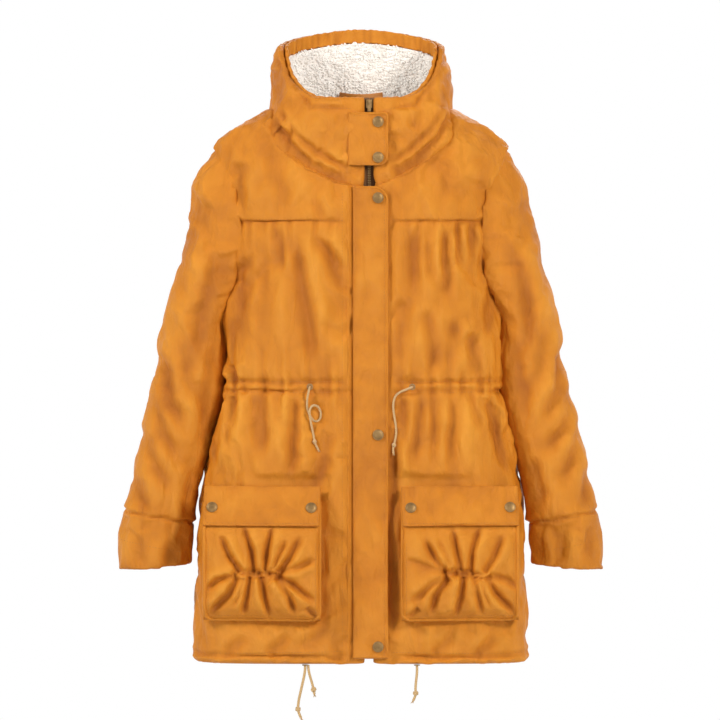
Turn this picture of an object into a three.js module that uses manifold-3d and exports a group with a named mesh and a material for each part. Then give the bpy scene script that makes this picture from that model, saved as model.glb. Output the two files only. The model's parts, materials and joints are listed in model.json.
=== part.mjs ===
// Padded winter parka with a stand collar, a zipped front under a snapped storm flap, a drawcord
// waist, two bellows pockets and a drawcord hem. It hangs by its neck and shoulders.
// Millimetres, +Z up. The front faces -Y, and the wearer's right side is at -X. The origin is at
// the height of the neck points, above the middle of the coat, where the hanger holds it.

import * as THREE from 'three';
import Module from 'manifold-3d';
import { mergeVertices } from 'three/addons/utils/BufferGeometryUtils.js';

const wasm = await Module();
wasm.setup();

// ---------- driving dimensions ----------

// Body: half widths, and drops measured down from the neck points
const neckHalfWidth = 133;
const neckRise = 5;
const neckFrontDrop = 110;
const shoulderHalfWidth = 221;
const shoulderDrop = 60;
const underarmHalfWidth = 200;
const underarmDrop = 258;
const waistHalfWidth = 201;
const waistDrop = 405;
const hipHalfWidth = 234;
const hipDrop = 555;
const hemHalfWidth = 244;
const hemDrop = 813;
const yokeDrop = 165;
const frontDepth = 80;
const backDepth = 84;

// Layers, as depths in from the outer surface
const shellThickness = 8;
const channelThickness = 1.8;
const liningThickness = 4;
const layerGap = 1.2;
const seamGap = 0.8;

// Collar
const collarTopHalfWidth = 121;
const collarFrontHeight = 19;
const collarSideHeight = 95;
const collarBackHeight = 119;
const collarBackDepth = 76;
const rimHeight = 20;

// Front zip
const zipX = 12;
const zipGapWidth = 12;
const tapeWidth = 15;
const tapeThickness = 1;
const tapeGap = 1.6;
const teethWidth = 2.2;
const teethThickness = 2.2;
const sliderWidth = 9;
const sliderLength = 12;
const sliderRail = 1.4;
const sliderPlate = 1.4;
const pullWidth = 5;
const pullLength = 14;
const pullThickness = 1;

// Storm flap and collar flap, both sewn down on the wearer's right
const flapThickness = 4;
const stormFlapLeft = -12;
const stormFlapWidth = 52;
const stormFlapHemGap = 9;
const collarFlapLeft = -19;
const collarFlapWidth = 59;
const collarFlapTopDrop = 3;
const collarFlapLength = 78;

// Press studs
const capDiameter = 15;
const capHeight = 2.4;
const studDiameter = 11;
const studHeight = 1.8;
const studSink = 0.35;
const studClearance = 0.45;
const flapGap = studSink + studHeight + studClearance;
const snapFromFlapEdge = 15;
const stormSnapDrops = [128, 475, 786];
const collarSnapDrops = [17, 69];

// Pockets: each sits on a flat plane that is turned a little to follow the front
const pocketInnerX = 58;
const pocketWidth = 172;
const pocketTurn = 5.4;
const pocketInnerY = 87.6;
const pocketTopDrop = 551;
const pocketHeight = 197;
const pocketBulge = 29;
const pocketWall = 2.6;
const pocketMouthDrop = 18;
const pocketFlapLength = 57;
const pocketFlapTilt = 22;
const pocketFlapThickness = 3.5;
const pocketFlapStart = 3;
const pocketSnapInset = 13;
const pocketSnapDrop = 31;

// Sleeves
const sleeveLength = 618;
const sleeveSplay = 13;
const cuffWidth = 110;
const cuffHalfDepth = 45;
const cuffLength = 74;
const armholeHalfDepth = 56;
const armholeCurve = 22;
const sleeveGap = 2.5;
const sleeveLiningThickness = 2;

// Drawcords and eyelets
const waistCordDiameter = 3.2;
const hemCordDiameter = 4;
const knotRadius = 4;
const eyeletDiameter = 10;
const eyeletHole = 5.2;
const eyeletHeight = 1.2;
const waistChannelHeight = 22;
const waistEyeletX = 75;
const hemFacingHeight = 22;
const hemEyeletX = 82;

// ---------- materials ----------

function finish(color, roughness, metalness) {
  return new THREE.MeshStandardMaterial({ color, roughness, metalness });
}

const shellCloth = finish(0xe3942f, 0.62, 0);
const fleece = finish(0xe8ded4, 0.95, 0);
const liningCloth = finish(0xcf8530, 0.6, 0);
const brass = finish(0x8c6c3c, 0.4, 0.9);
const tapeCloth = finish(0x8a5a2a, 0.8, 0);
const cordYarn = finish(0xcda566, 0.85, 0);

// ---------- helpers ----------

const coat = new THREE.Group();

function radians(degrees) {
  return degrees * Math.PI / 180;
}

function mix(a, b, t) {
  return a + (b - a) * t;
}

function ease(t) {
  const c = Math.min(1, Math.max(0, t));
  return c * c * (3 - 2 * c);
}

// A smooth curve through [position, value] stops that never overshoots them
function profile(stops) {
  const slopes = [];
  for (let i = 0; i < stops.length - 1; i += 1) {
    slopes.push((stops[i + 1][1] - stops[i][1]) / (stops[i + 1][0] - stops[i][0]));
  }
  const tangents = stops.map((stop, i) => {
    if (i === 0) return slopes[0];
    if (i === stops.length - 1) return slopes[i - 1];
    const before = slopes[i - 1];
    const after = slopes[i];
    return before * after > 0 ? 2 * before * after / (before + after) : 0;
  });
  return (position) => {
    let i = 0;
    while (i < stops.length - 2 && position > stops[i + 1][0]) i += 1;
    const span = stops[i + 1][0] - stops[i][0];
    const t = Math.min(1, Math.max(0, (position - stops[i][0]) / span));
    const t2 = t * t;
    const t3 = t2 * t;
    return (2 * t3 - 3 * t2 + 1) * stops[i][1] + (t3 - 2 * t2 + t) * span * tangents[i]
      + (3 * t2 - 2 * t3) * stops[i + 1][1] + (t3 - t2) * span * tangents[i + 1];
  };
}

function volumeOf(geometry) {
  const position = geometry.getAttribute('position');
  const a = new THREE.Vector3();
  const b = new THREE.Vector3();
  const c = new THREE.Vector3();
  let volume = 0;
  for (let i = 0; i < geometry.index.count; i += 3) {
    a.fromBufferAttribute(position, geometry.index.getX(i));
    b.fromBufferAttribute(position, geometry.index.getX(i + 1));
    c.fromBufferAttribute(position, geometry.index.getX(i + 2));
    volume += a.dot(b.cross(c)) / 6;
  }
  return volume;
}

function facingOut(geometry) {
  if (volumeOf(geometry) < 0) {
    const index = geometry.index;
    for (let i = 0; i < index.count; i += 3) {
      const first = index.getX(i);
      index.setX(i, index.getX(i + 2));
      index.setX(i + 2, first);
    }
  }
  geometry.computeVertexNormals();
  return geometry;
}

// Moves every vertex of a geometry to where place says
function warp(geometry, place) {
  const position = geometry.getAttribute('position');
  const at = new THREE.Vector3();
  for (let i = 0; i < position.count; i += 1) {
    at.fromBufferAttribute(position, i);
    at.copy(place(at));
    position.setXYZ(i, at.x, at.y, at.z);
  }
  return facingOut(geometry);
}

// A layer with four edges: place(across, down, deep) takes fractions from 0 to 1. Its near and far
// faces are split along the same diagonals, so layers that lie on each other stay parallel.
function layer(columns, rows, place) {
  const block = new THREE.BoxGeometry(1, 1, 1, columns, rows, 1);
  const farFace = block.groups[block.groups.length - 1];
  for (let i = farFace.start; i < farFace.start + farFace.count; i += 6) {
    const [a, b, , , c, d] = block.index.array.slice(i, i + 6);
    block.index.array.set([a, b, c, a, c, d], i);
  }
  block.translate(0.5, 0.5, 0.5);
  return warp(block, (at) => place(at.x, at.y, at.z));
}

// A layer that closes round on itself: place(round, along, deep), where round is an angle
function sleeve(columns, rows, place) {
  const outline = [];
  for (let row = 0; row <= rows; row += 1) outline.push(new THREE.Vector2(2, row / rows));
  for (let row = rows; row >= 0; row -= 1) outline.push(new THREE.Vector2(1, row / rows));
  outline.push(new THREE.Vector2(2, 0));
  const turned = new THREE.LatheGeometry(outline, columns);
  return warp(turned, (at) => place(Math.atan2(at.x, at.z), at.y, 2 - Math.hypot(at.x, at.z)));
}

function merged(geometry) {
  const bare = geometry.clone();
  bare.deleteAttribute('normal');
  bare.deleteAttribute('uv');
  return mergeVertices(bare, 1e-4);
}

function solid(geometry) {
  const bare = merged(geometry);
  return new wasm.Manifold(new wasm.Mesh({
    numProp: 3,
    vertProperties: Float32Array.from(bare.getAttribute('position').array),
    triVerts: Uint32Array.from(bare.index.array),
  }));
}

function fromSolid(body) {
  const cut = body.getMesh();
  const geometry = new THREE.BufferGeometry();
  geometry.setAttribute('position', new THREE.BufferAttribute(cut.vertProperties, 3));
  geometry.setIndex(new THREE.BufferAttribute(cut.triVerts, 1));
  geometry.computeVertexNormals();
  return geometry;
}

function piece(name, geometry, material, parent = coat) {
  const mesh = new THREE.Mesh(geometry, material);
  mesh.name = name;
  parent.add(mesh);
  return mesh;
}

function block(x0, x1, y0, y1, z0, z1) {
  const geometry = new THREE.BoxGeometry(x1 - x0, y1 - y0, z1 - z0);
  geometry.translate((x0 + x1) / 2, (y0 + y1) / 2, (z0 + z1) / 2);
  return geometry;
}

// ---------- body surface ----------

const halfWidth = profile([
  [-neckRise, neckHalfWidth],
  [shoulderDrop, shoulderHalfWidth],
  [underarmDrop, underarmHalfWidth],
  [waistDrop, waistHalfWidth],
  [hipDrop, hipHalfWidth],
  [hemDrop, hemHalfWidth],
]);
const backShare = profile([
  [-neckRise, 0.86],
  [shoulderDrop, 0.93],
  [underarmDrop, 1],
  [waistDrop, 0.93],
  [hipDrop, 1.07],
  [hemDrop, 1.1],
]);
const squareness = profile([
  [-neckRise, 2.2],
  [neckFrontDrop, 2.4],
  [underarmDrop, 3],
  [waistDrop, 3.4],
  [hipDrop, 4.5],
  [hemDrop, 4.6],
]);

// A point on a rounded oval; turn is 0 at the front middle, 90 at +X and 180 at the back
function ovalPoint(turn, wide, front, back, power, z) {
  const s = Math.sin(radians(turn));
  const c = Math.cos(radians(turn));
  const reach = (Math.abs(s) ** power + Math.abs(c) ** power) ** (-1 / power);
  return new THREE.Vector3(wide * reach * s, -(c > 0 ? front : back) * reach * c, z);
}

// The turn at which such an oval reaches a given x on its front half
function ovalTurn(x, wide, power) {
  const share = Math.min(1, Math.abs(x) / wide) ** power;
  if (share >= 1) return 90 * Math.sign(x);
  const turn = Math.atan((share / (1 - share)) ** (1 / power)) * 180 / Math.PI;
  return turn * Math.sign(x);
}

function bodyPoint(turn, drop, depth) {
  return ovalPoint(
    turn,
    halfWidth(drop) - depth,
    frontDepth - depth,
    backDepth * backShare(drop) - depth,
    squareness(drop),
    -drop,
  );
}

function bodyTurn(x, drop, depth) {
  return ovalTurn(x, halfWidth(drop) - depth, squareness(drop));
}

function necklineDrop(turn) {
  const facing = Math.max(0, Math.cos(radians(turn)));
  return -neckRise + (neckFrontDrop + neckRise) * facing ** 4;
}

// ---------- sleeve surface ----------

const sleeveTip = new THREE.Vector2(shoulderHalfWidth + 1, -shoulderDrop);
const sleeveEnd = new THREE.Vector2(
  sleeveTip.x + sleeveLength * Math.sin(radians(sleeveSplay)),
  sleeveTip.y - sleeveLength * Math.cos(radians(sleeveSplay)),
);
const sleeveOuter = new THREE.SplineCurve([
  sleeveTip,
  new THREE.Vector2(sleeveTip.x + 15, sleeveTip.y - 30),
  new THREE.Vector2(sleeveTip.x + 30, sleeveTip.y - 88),
  new THREE.Vector2(mix(sleeveTip.x + 30, sleeveEnd.x, 0.5), mix(sleeveTip.y - 88, sleeveEnd.y, 0.5)),
  sleeveEnd,
]);
const cuffInnerX = sleeveEnd.x - cuffWidth;

function sleeveInner(along) {
  const drop = mix(underarmDrop, -sleeveEnd.y - 6, along);
  const beside = halfWidth(drop) + sleeveGap;
  return new THREE.Vector2(mix(beside, cuffInnerX, ease((along - 0.6) / 0.4)), -drop);
}

// round is 0 at the sleeve's outer edge and a quarter turn at its front; the rings lean from
// nearly upright at the armhole to level at the cuff
function sleeveRing(round, along, depth) {
  const outer = sleeveOuter.getPointAt(along);
  const inner = sleeveInner(along);
  const middle = outer.clone().add(inner).multiplyScalar(0.5);
  const reach = outer.clone().sub(inner).multiplyScalar(0.5);
  reach.multiplyScalar(1 - depth / reach.length());
  const deep = mix(armholeHalfDepth, cuffHalfDepth, ease(along / 0.5)) - depth;
  const curve = armholeCurve * (1 - ease(along / 0.3)) * Math.sin(round) ** 2;
  return new THREE.Vector3(
    middle.x + reach.x * Math.cos(round) - curve,
    -deep * Math.sin(round),
    middle.y + reach.y * Math.cos(round),
  );
}

// Depth is measured in the ring's plane at the armhole, and square to the surface below it
function sleevePoint(side, round, along, depth) {
  const step = 0.001;
  const surface = sleeveRing(round, along, 0);
  const inRing = sleeveRing(round, along, depth);
  const across = sleeveRing(round + step, along, 0).sub(surface);
  const down = sleeveRing(round, Math.max(0, along - step), 0).sub(surface);
  const inward = across.cross(down).normalize();
  if (inward.dot(inRing.clone().sub(surface)) < 0) inward.negate();
  const square = surface.clone().addScaledVector(inward, depth);
  const at = inRing.lerp(square, along > step ? ease((along - step) / 0.12) : 0);
  at.x *= side;
  return at;
}

// Where the body's panels stop for the sleeve, as an x on each side
function armholeX(drop) {
  const inner = sleeveInner(0);
  const middleX = (sleeveTip.x + inner.x) / 2;
  const middleZ = (sleeveTip.y + inner.y) / 2;
  const up = (-drop - middleZ) / (sleeveTip.y - middleZ);
  if (Math.abs(up) > 1) return Infinity;
  return middleX + (sleeveTip.x - middleX) * up - armholeCurve * (1 - up * up) - seamGap * 2;
}

// The turn of a panel's outer edge: the side seam, or the armhole where there is one
function outerTurn(drop) {
  const x = armholeX(drop);
  if (drop < shoulderDrop || x >= halfWidth(drop)) return 90;
  return Math.min(90, bodyTurn(x, drop, 0));
}

// ---------- panels of the body ----------

const zipRight = zipX - zipGapWidth / 2;
const zipLeft = zipX + zipGapWidth / 2;
const seamTurn = 0.25;

// side is 1 for the wearer's left, whose front starts at the zip's left edge
function frontEdgeX(side) {
  return side > 0 ? zipLeft : -zipRight;
}

// Above the yoke seam: from the neckline and the shoulder seam down to the yoke seam
function frontUpperPoint(side, startX, across, down, depth, lowDrop) {
  const edgeDrop = mix(-neckRise, lowDrop, down);
  const edgeTurn = outerTurn(edgeDrop) - seamTurn;
  const neckTurn = mix(bodyTurn(startX, neckFrontDrop, depth), 90 - seamTurn, across);
  const drop = mix(necklineDrop(neckTurn) + seamGap, lowDrop, down);
  const startTurn = bodyTurn(startX, drop, depth);
  const turn = mix(startTurn, edgeTurn, across);
  const at = bodyPoint(turn, drop, depth);
  at.x *= side;
  return at;
}

// Below the yoke seam, down to the hem or to where a lining stops short of it
function frontLowerPoint(side, startX, across, down, depth, highDrop, lowDrop) {
  const drop = Math.min(panelDrop(down, highDrop), lowDrop);
  const turn = mix(bodyTurn(startX, drop, depth), outerTurn(drop) - seamTurn, across);
  const at = bodyPoint(turn, drop, depth);
  at.x *= side;
  return at;
}

function backPoint(across, drop, depth) {
  const half = outerTurn(drop) - seamTurn;
  return bodyPoint(180 + mix(half, -half, across), drop, depth);
}

// Layers that lie over each other share these counts, so that their facets stay parallel
const frontColumns = 8;
const backColumns = 12;
const roundColumns = 2 * frontColumns + backColumns;
const yokeRows = 6;
const panelStretches = [[underarmDrop, 3], [waistDrop, 3], [hipDrop, 3], [hemDrop, 4]];
const panelRows = panelStretches.reduce((total, [, rows]) => total + rows, 0);

// The drop of a panel's row; rows lie on the underarm, waist and hips, as the body's shape does
function panelDrop(down, highDrop) {
  let row = down * panelRows;
  let start = highDrop;
  for (const [end, rows] of panelStretches) {
    if (row <= rows) return mix(start, end, row / rows);
    row -= rows;
    start = end;
  }
  return start;
}

// The turn at a fraction of the way from one front edge round the back to the other
function roundTurn(first, last, across) {
  const column = across * roundColumns;
  if (column <= frontColumns) return mix(first, 90, column / frontColumns);
  if (column <= frontColumns + backColumns) {
    return mix(90, 270, (column - frontColumns) / backColumns);
  }
  return mix(270, last, (column - frontColumns - backColumns) / frontColumns);
}

const sides = [['right', -1], ['left', 1]];
const liningDepth = shellThickness + channelThickness + layerGap * 4;
const liningHemDrop = hemDrop - hemFacingHeight - seamGap * 2;
const liningStart = 4;

for (const [word, side] of sides) {
  const startX = frontEdgeX(side);
  const liningX = startX + liningStart;
  const liningDeep = (deep) => liningDepth + liningThickness * deep;
  piece(`${word}_front_yoke`, layer(frontColumns, yokeRows, (across, down, deep) =>
    frontUpperPoint(side, startX, across, down, shellThickness * deep, yokeDrop)), shellCloth);
  piece(`${word}_front_panel`, layer(frontColumns, panelRows, (across, down, deep) =>
    frontLowerPoint(side, startX, across, down, shellThickness * deep, yokeDrop + seamGap, hemDrop)),
  shellCloth);
  const upperLining = layer(frontColumns, yokeRows, (across, down, deep) =>
    frontUpperPoint(side, liningX, across, down, liningDeep(deep), yokeDrop));
  const lowerLining = layer(frontColumns, panelRows, (across, down, deep) =>
    frontLowerPoint(side, liningX, across, down, liningDeep(deep), yokeDrop, liningHemDrop));
  piece(`${word}_front_lining`, fromSolid(solid(upperLining).add(solid(lowerLining))), fleece);
}

piece('back_yoke', layer(backColumns, yokeRows, (across, down, deep) =>
  backPoint(across, mix(-neckRise + seamGap, yokeDrop, down), shellThickness * deep)), shellCloth);
piece('back_panel', layer(backColumns, panelRows, (across, down, deep) =>
  backPoint(across, panelDrop(down, yokeDrop + seamGap), shellThickness * deep)), shellCloth);
const upperBackLining = layer(backColumns, yokeRows, (across, down, deep) =>
  backPoint(across, mix(-neckRise + seamGap, yokeDrop, down), liningDepth + liningThickness * deep));
const lowerBackLining = layer(backColumns, panelRows, (across, down, deep) =>
  backPoint(across, Math.min(panelDrop(down, yokeDrop), liningHemDrop),
    liningDepth + liningThickness * deep));
piece('back_lining', fromSolid(solid(upperBackLining).add(solid(lowerBackLining))), fleece);

// A strip inside the shell that runs from one zip tape round the back to the other
function bandInside(highDrop, lowDrop) {
  const depth = shellThickness + layerGap;
  const clear = tapeWidth - zipGapWidth / 2 + 3;
  return layer(roundColumns, 1, (across, down, deep) => {
    const drop = mix(highDrop, lowDrop, down);
    const inset = depth + channelThickness * deep;
    const first = bodyTurn(zipLeft + clear, drop, inset);
    const last = 360 + bodyTurn(zipRight - clear, drop, inset);
    return bodyPoint(roundTurn(first, last, across), drop, inset);
  });
}

piece('waist_channel', bandInside(waistDrop - waistChannelHeight / 2,
  waistDrop + waistChannelHeight / 2), liningCloth);
piece('hem_facing', bandInside(hemDrop - hemFacingHeight, hemDrop), shellCloth);

// ---------- collar ----------

function collarHeight(turn) {
  const away = Math.abs(turn > 180 ? turn - 360 : turn);
  return collarFrontHeight + (collarSideHeight - collarFrontHeight) * ease((away - 28) / 62)
    + (collarBackHeight - collarSideHeight) * ease((away - 90) / 90);
}

const collarPower = 3;

// up runs from the neckline (0) to the top (1), which is lowered by belowTop
function collarPoint(across, up, depth, clearX, belowTop) {
  const x0 = zipLeft + clearX;
  const x1 = zipRight - clearX;
  const lowTurn = roundTurn(bodyTurn(x0, neckFrontDrop, depth),
    360 + bodyTurn(x1, neckFrontDrop, depth), across);
  const wide = collarTopHalfWidth - depth;
  const highTurn = roundTurn(ovalTurn(x0, wide, collarPower),
    360 + ovalTurn(x1, wide, collarPower), across);
  const low = bodyPoint(lowTurn, necklineDrop(lowTurn), depth);
  const high = ovalPoint(highTurn, wide, frontDepth - depth, collarBackDepth - depth, collarPower,
    collarHeight(highTurn));
  return low.lerp(high, up * (1 - belowTop / (high.z - low.z)));
}

piece('collar_shell', layer(roundColumns, 5, (across, down, deep) =>
  collarPoint(across, 1 - down, shellThickness * deep, 0, 0)), shellCloth);
const fleeceDepth = shellThickness + tapeGap + tapeThickness + layerGap;
piece('collar_fleece', layer(roundColumns, 4, (across, down, deep) =>
  collarPoint(across, 1 - down, fleeceDepth + liningThickness * deep, liningStart,
    rimHeight + seamGap)), fleece);
piece('collar_rim', layer(roundColumns, 1, (across, down, deep) =>
  collarPoint(across, 1, fleeceDepth + liningThickness * deep, liningStart, rimHeight * down)),
shellCloth);

// A cloth loop sewn inside the back neck
const loopHalf = 32;
const loopWidth = 8;
const loopThickness = 1.6;
const loopBackY = collarBackDepth - fleeceDepth - liningThickness - 12;
const loopPath = new THREE.QuadraticBezierCurve3(
  new THREE.Vector3(-loopHalf, loopBackY, 22),
  new THREE.Vector3(0, loopBackY - 26, 16),
  new THREE.Vector3(loopHalf, loopBackY, 22),
);
const loopSection = new THREE.Shape([
  new THREE.Vector2(-loopWidth / 2, -loopThickness / 2),
  new THREE.Vector2(loopWidth / 2, -loopThickness / 2),
  new THREE.Vector2(loopWidth / 2, loopThickness / 2),
  new THREE.Vector2(-loopWidth / 2, loopThickness / 2),
]);
piece('hang_loop', facingOut(merged(new THREE.ExtrudeGeometry(loopSection, {
  steps: 12, bevelEnabled: false, extrudePath: loopPath,
}))), shellCloth);

// ---------- zip ----------

const zipTop = collarFrontHeight - 1;
const zipBottom = -hemDrop + 8;
const tapeFront = -frontDepth + shellThickness + tapeGap;
const teethBack = tapeFront - 0.3;
const teethFront = teethBack - teethThickness;
const boxHeight = 10;

for (const [word, side] of sides) {
  const near = zipX + side * 0.4;
  const far = near + side * tapeWidth;
  piece(`${word}_zip_tape`, block(Math.min(near, far), Math.max(near, far),
    tapeFront, tapeFront + tapeThickness, zipBottom, zipTop), tapeCloth);
  const toothNear = zipX + side * 0.15;
  const toothFar = toothNear + side * teethWidth;
  piece(`${word}_zip_teeth`, block(Math.min(toothNear, toothFar), Math.max(toothNear, toothFar),
    teethFront, teethBack, zipBottom + boxHeight + 0.5, zipTop - 2), brass);
}
piece('zip_box', block(zipX - 4, zipX + 4, teethFront - 0.5, teethBack, zipBottom,
  zipBottom + boxHeight), brass);

// The slider's plate and two rails, open at the back where the tapes pass
const sliderGap = 0.4;
const sliderGroup = new THREE.Group();
const sliderTop = zipTop - 3;
const plateBack = teethFront - sliderGap;
const sliderPlateBlock = block(-sliderWidth / 2, sliderWidth / 2, plateBack - sliderPlate, plateBack,
  -sliderLength, 0);
const sliderRails = sides.map(([, side]) => {
  const outer = side * sliderWidth / 2;
  const inner = side * (sliderWidth / 2 - sliderRail);
  return solid(block(Math.min(outer, inner), Math.max(outer, inner), plateBack - 0.5,
    teethBack - 0.1, -sliderLength, 0));
});
const plateFront = plateBack - sliderPlate;
const bailWidth = 2;
const bailRoom = 1.9;
const bailBar = 1;
const bailTop = -1.2;
const bailBottom = -6;
const bailFoot = 1;
const bailBlock = solid(block(-bailWidth / 2, bailWidth / 2, plateFront - bailRoom - bailBar,
  plateFront + 0.5, bailBottom, bailTop));
const bailTunnel = solid(block(-bailWidth, bailWidth, plateFront - bailRoom, plateFront,
  bailBottom + bailFoot, bailTop - bailFoot));
piece('zip_slider', fromSolid(solid(sliderPlateBlock).add(sliderRails[0]).add(sliderRails[1])
  .add(bailBlock.subtract(bailTunnel))), brass, sliderGroup);
sliderGroup.position.set(zipX, 0, sliderTop);
coat.add(sliderGroup);

// The pull's head bar lies under the bail, and a slot lets its two arms pass the bail's sides
const pullBack = plateFront - (bailRoom - pullThickness) / 2;
const pullPivot = (bailTop + bailBottom) / 2;
const pullHead = 1;
const pullTop = pullPivot + pullHead / 2;
const pullSlotWidth = bailWidth + 0.8;
const pullSlotEnd = pullPivot - 3.6;
const pullPlate = solid(block(-pullWidth / 2, pullWidth / 2, pullBack - pullThickness, pullBack,
  pullTop - pullLength, pullTop));
const pullSlot = solid(block(-pullSlotWidth / 2, pullSlotWidth / 2, pullBack - 5, pullBack + 5,
  pullSlotEnd, pullTop - pullHead));
piece('zip_pull', fromSolid(pullPlate.subtract(pullSlot)), brass, sliderGroup);

// ---------- press studs ----------

function capGeometry() {
  const radius = capDiameter / 2;
  return facingOut(merged(new THREE.LatheGeometry([
    new THREE.Vector2(0, 0),
    new THREE.Vector2(radius, 0),
    new THREE.Vector2(radius, capHeight * 0.35),
    new THREE.Vector2(radius * 0.78, capHeight * 0.85),
    new THREE.Vector2(0, capHeight),
  ], 14)));
}

function studGeometry() {
  const radius = studDiameter / 2;
  return facingOut(merged(new THREE.LatheGeometry([
    new THREE.Vector2(0, 0),
    new THREE.Vector2(radius, 0),
    new THREE.Vector2(radius, studHeight * 0.5),
    new THREE.Vector2(radius * 0.5, studHeight),
    new THREE.Vector2(0, studHeight),
  ], 12)));
}

// Turned so that it faces -Y, with its back face at y
function snap(name, geometry, x, y, z, parent = coat) {
  const mesh = piece(name, geometry, brass, parent);
  mesh.rotation.x = Math.PI;
  mesh.position.set(x, y, z);
  return mesh;
}

// ---------- storm flap and collar flap ----------

const flapBack = -frontDepth - flapGap;
const flapFront = flapBack - flapThickness;
const capBack = flapFront - 0.3;
const studBack = -frontDepth - studSink;

const stormFlapTop = -neckFrontDrop - 1;
const stormFlapRight = stormFlapLeft + stormFlapWidth;
const stormFlapCorner = 20;
const stormOutline = new THREE.Shape();
stormOutline.moveTo(stormFlapLeft, -hemDrop + stormFlapHemGap);
stormOutline.lineTo(stormFlapRight, -hemDrop + stormFlapHemGap);
stormOutline.lineTo(stormFlapRight, stormFlapTop - stormFlapCorner);
stormOutline.absarc(stormFlapRight - stormFlapCorner, stormFlapTop - stormFlapCorner,
  stormFlapCorner, 0, Math.PI / 2, false);
stormOutline.lineTo(stormFlapLeft, stormFlapTop);
stormOutline.closePath();

// An outline drawn in x and z, as a plate with its back at y = back
function plateOf(outline, thickness, back) {
  const plate = new THREE.ExtrudeGeometry(outline, {
    depth: thickness, bevelEnabled: false, curveSegments: 5,
  });
  plate.rotateX(Math.PI / 2);
  plate.translate(0, back, 0);
  return facingOut(merged(plate));
}

piece('storm_flap', plateOf(stormOutline, flapThickness, flapBack), shellCloth);
stormSnapDrops.forEach((drop, i) => {
  const x = stormFlapRight - snapFromFlapEdge;
  snap(`storm_snap_cap_${i + 1}`, capGeometry(), x, capBack, -drop);
  snap(`storm_snap_stud_${i + 1}`, studGeometry(), x, studBack, -drop);
});

const collarFlapTop = -collarFlapTopDrop;
const collarFlapRight = collarFlapLeft + collarFlapWidth;
const collarFlapBottom = collarFlapTop - collarFlapLength;
const collarFlapCorner = 14;
const collarOutline = new THREE.Shape();
collarOutline.moveTo(collarFlapLeft, collarFlapBottom);
collarOutline.lineTo(collarFlapRight - collarFlapCorner, collarFlapBottom);
collarOutline.absarc(collarFlapRight - collarFlapCorner, collarFlapBottom + collarFlapCorner,
  collarFlapCorner, -Math.PI / 2, 0, false);
collarOutline.lineTo(collarFlapRight, collarFlapTop);
collarOutline.lineTo(collarFlapLeft, collarFlapTop);
collarOutline.closePath();
piece('collar_flap', plateOf(collarOutline, flapThickness, flapBack), shellCloth);
collarSnapDrops.forEach((drop, i) => {
  const x = collarFlapRight - snapFromFlapEdge;
  snap(`collar_snap_cap_${i + 1}`, capGeometry(), x, capBack, -drop);
  snap(`collar_snap_stud_${i + 1}`, studGeometry(), x, studBack, -drop);
});

// ---------- pockets ----------

// A pocket is drawn in its own frame: x runs out from its inner edge, y in from its back plane
// to the body (so -y is proud of it), and z down from the top of its flap.
const tilt = Math.tan(radians(pocketFlapTilt));
const flapToPocket = flapGap / Math.cos(radians(pocketFlapTilt));

function pocketProud(down) {
  const underFlap = pocketFlapStart + tilt * down - flapToPocket;
  return Math.min(pocketBulge, underFlap);
}

// The pocket's profile as (proud, up) points: inset by the wall for its hollow, which also
// runs past the back plane and out of the mouth
function pocketOutline(inset, behind, above) {
  const face = (down) => pocketProud(down) - inset;
  return new THREE.Shape([
    new THREE.Vector2(-behind, -pocketMouthDrop + above),
    new THREE.Vector2(face(pocketMouthDrop - above), -pocketMouthDrop + above),
    new THREE.Vector2(face(pocketFlapLength), -pocketFlapLength),
    new THREE.Vector2(pocketBulge - inset, -pocketFlapLength - 28),
    new THREE.Vector2(pocketBulge - inset, -pocketHeight + 45),
    new THREE.Vector2(pocketBulge * 0.82 - inset, -pocketHeight + 18),
    new THREE.Vector2(pocketBulge * 0.4, -pocketHeight + inset + 2),
    new THREE.Vector2(-behind, -pocketHeight + inset),
  ]);
}

// Draws the (proud, up) outline along x from one end to the other
function runOf(outline, x0, x1) {
  const run = new THREE.ExtrudeGeometry(outline, { depth: x1 - x0, bevelEnabled: false });
  const position = run.getAttribute('position');
  for (let i = 0; i < position.count; i += 1) {
    position.setXYZ(i, x0 + position.getZ(i), -position.getX(i), position.getY(i));
  }
  return facingOut(merged(run));
}

for (const [word, side] of sides) {
  const frame = new THREE.Group();
  frame.position.set(side * pocketInnerX, -pocketInnerY, -pocketTopDrop);
  frame.rotation.z = side * radians(pocketTurn);
  coat.add(frame);
  const x0 = 0;
  const x1 = side * pocketWidth;
  const low = Math.min(x0, x1);
  const high = Math.max(x0, x1);
  const outside = solid(runOf(pocketOutline(0, 0, 0), low, high));
  const inside = solid(runOf(pocketOutline(pocketWall, 5, 3), low + pocketWall, high - pocketWall));
  piece(`${word}_pocket`, fromSolid(outside.subtract(inside)), shellCloth, frame);

  const flapRun = new THREE.Group();
  flapRun.position.set(0, -pocketFlapStart, 0);
  flapRun.rotation.x = -radians(pocketFlapTilt);
  frame.add(flapRun);
  const flapLong = pocketFlapLength / Math.cos(radians(pocketFlapTilt));
  piece(`${word}_pocket_flap`, block(low, high, -pocketFlapThickness, 0, -flapLong, 0),
    shellCloth, flapRun);
  [pocketSnapInset, pocketWidth - pocketSnapInset].forEach((inset, i) => {
    const along = -pocketSnapDrop / Math.cos(radians(pocketFlapTilt));
    snap(`${word}_pocket_snap_cap_${i + 1}`, capGeometry(), side * inset,
      -pocketFlapThickness - 0.3, along, flapRun);
    snap(`${word}_pocket_snap_stud_${i + 1}`, studGeometry(), side * inset,
      flapGap - 0.35, along, flapRun);
  });
}

// ---------- sleeves ----------

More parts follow.
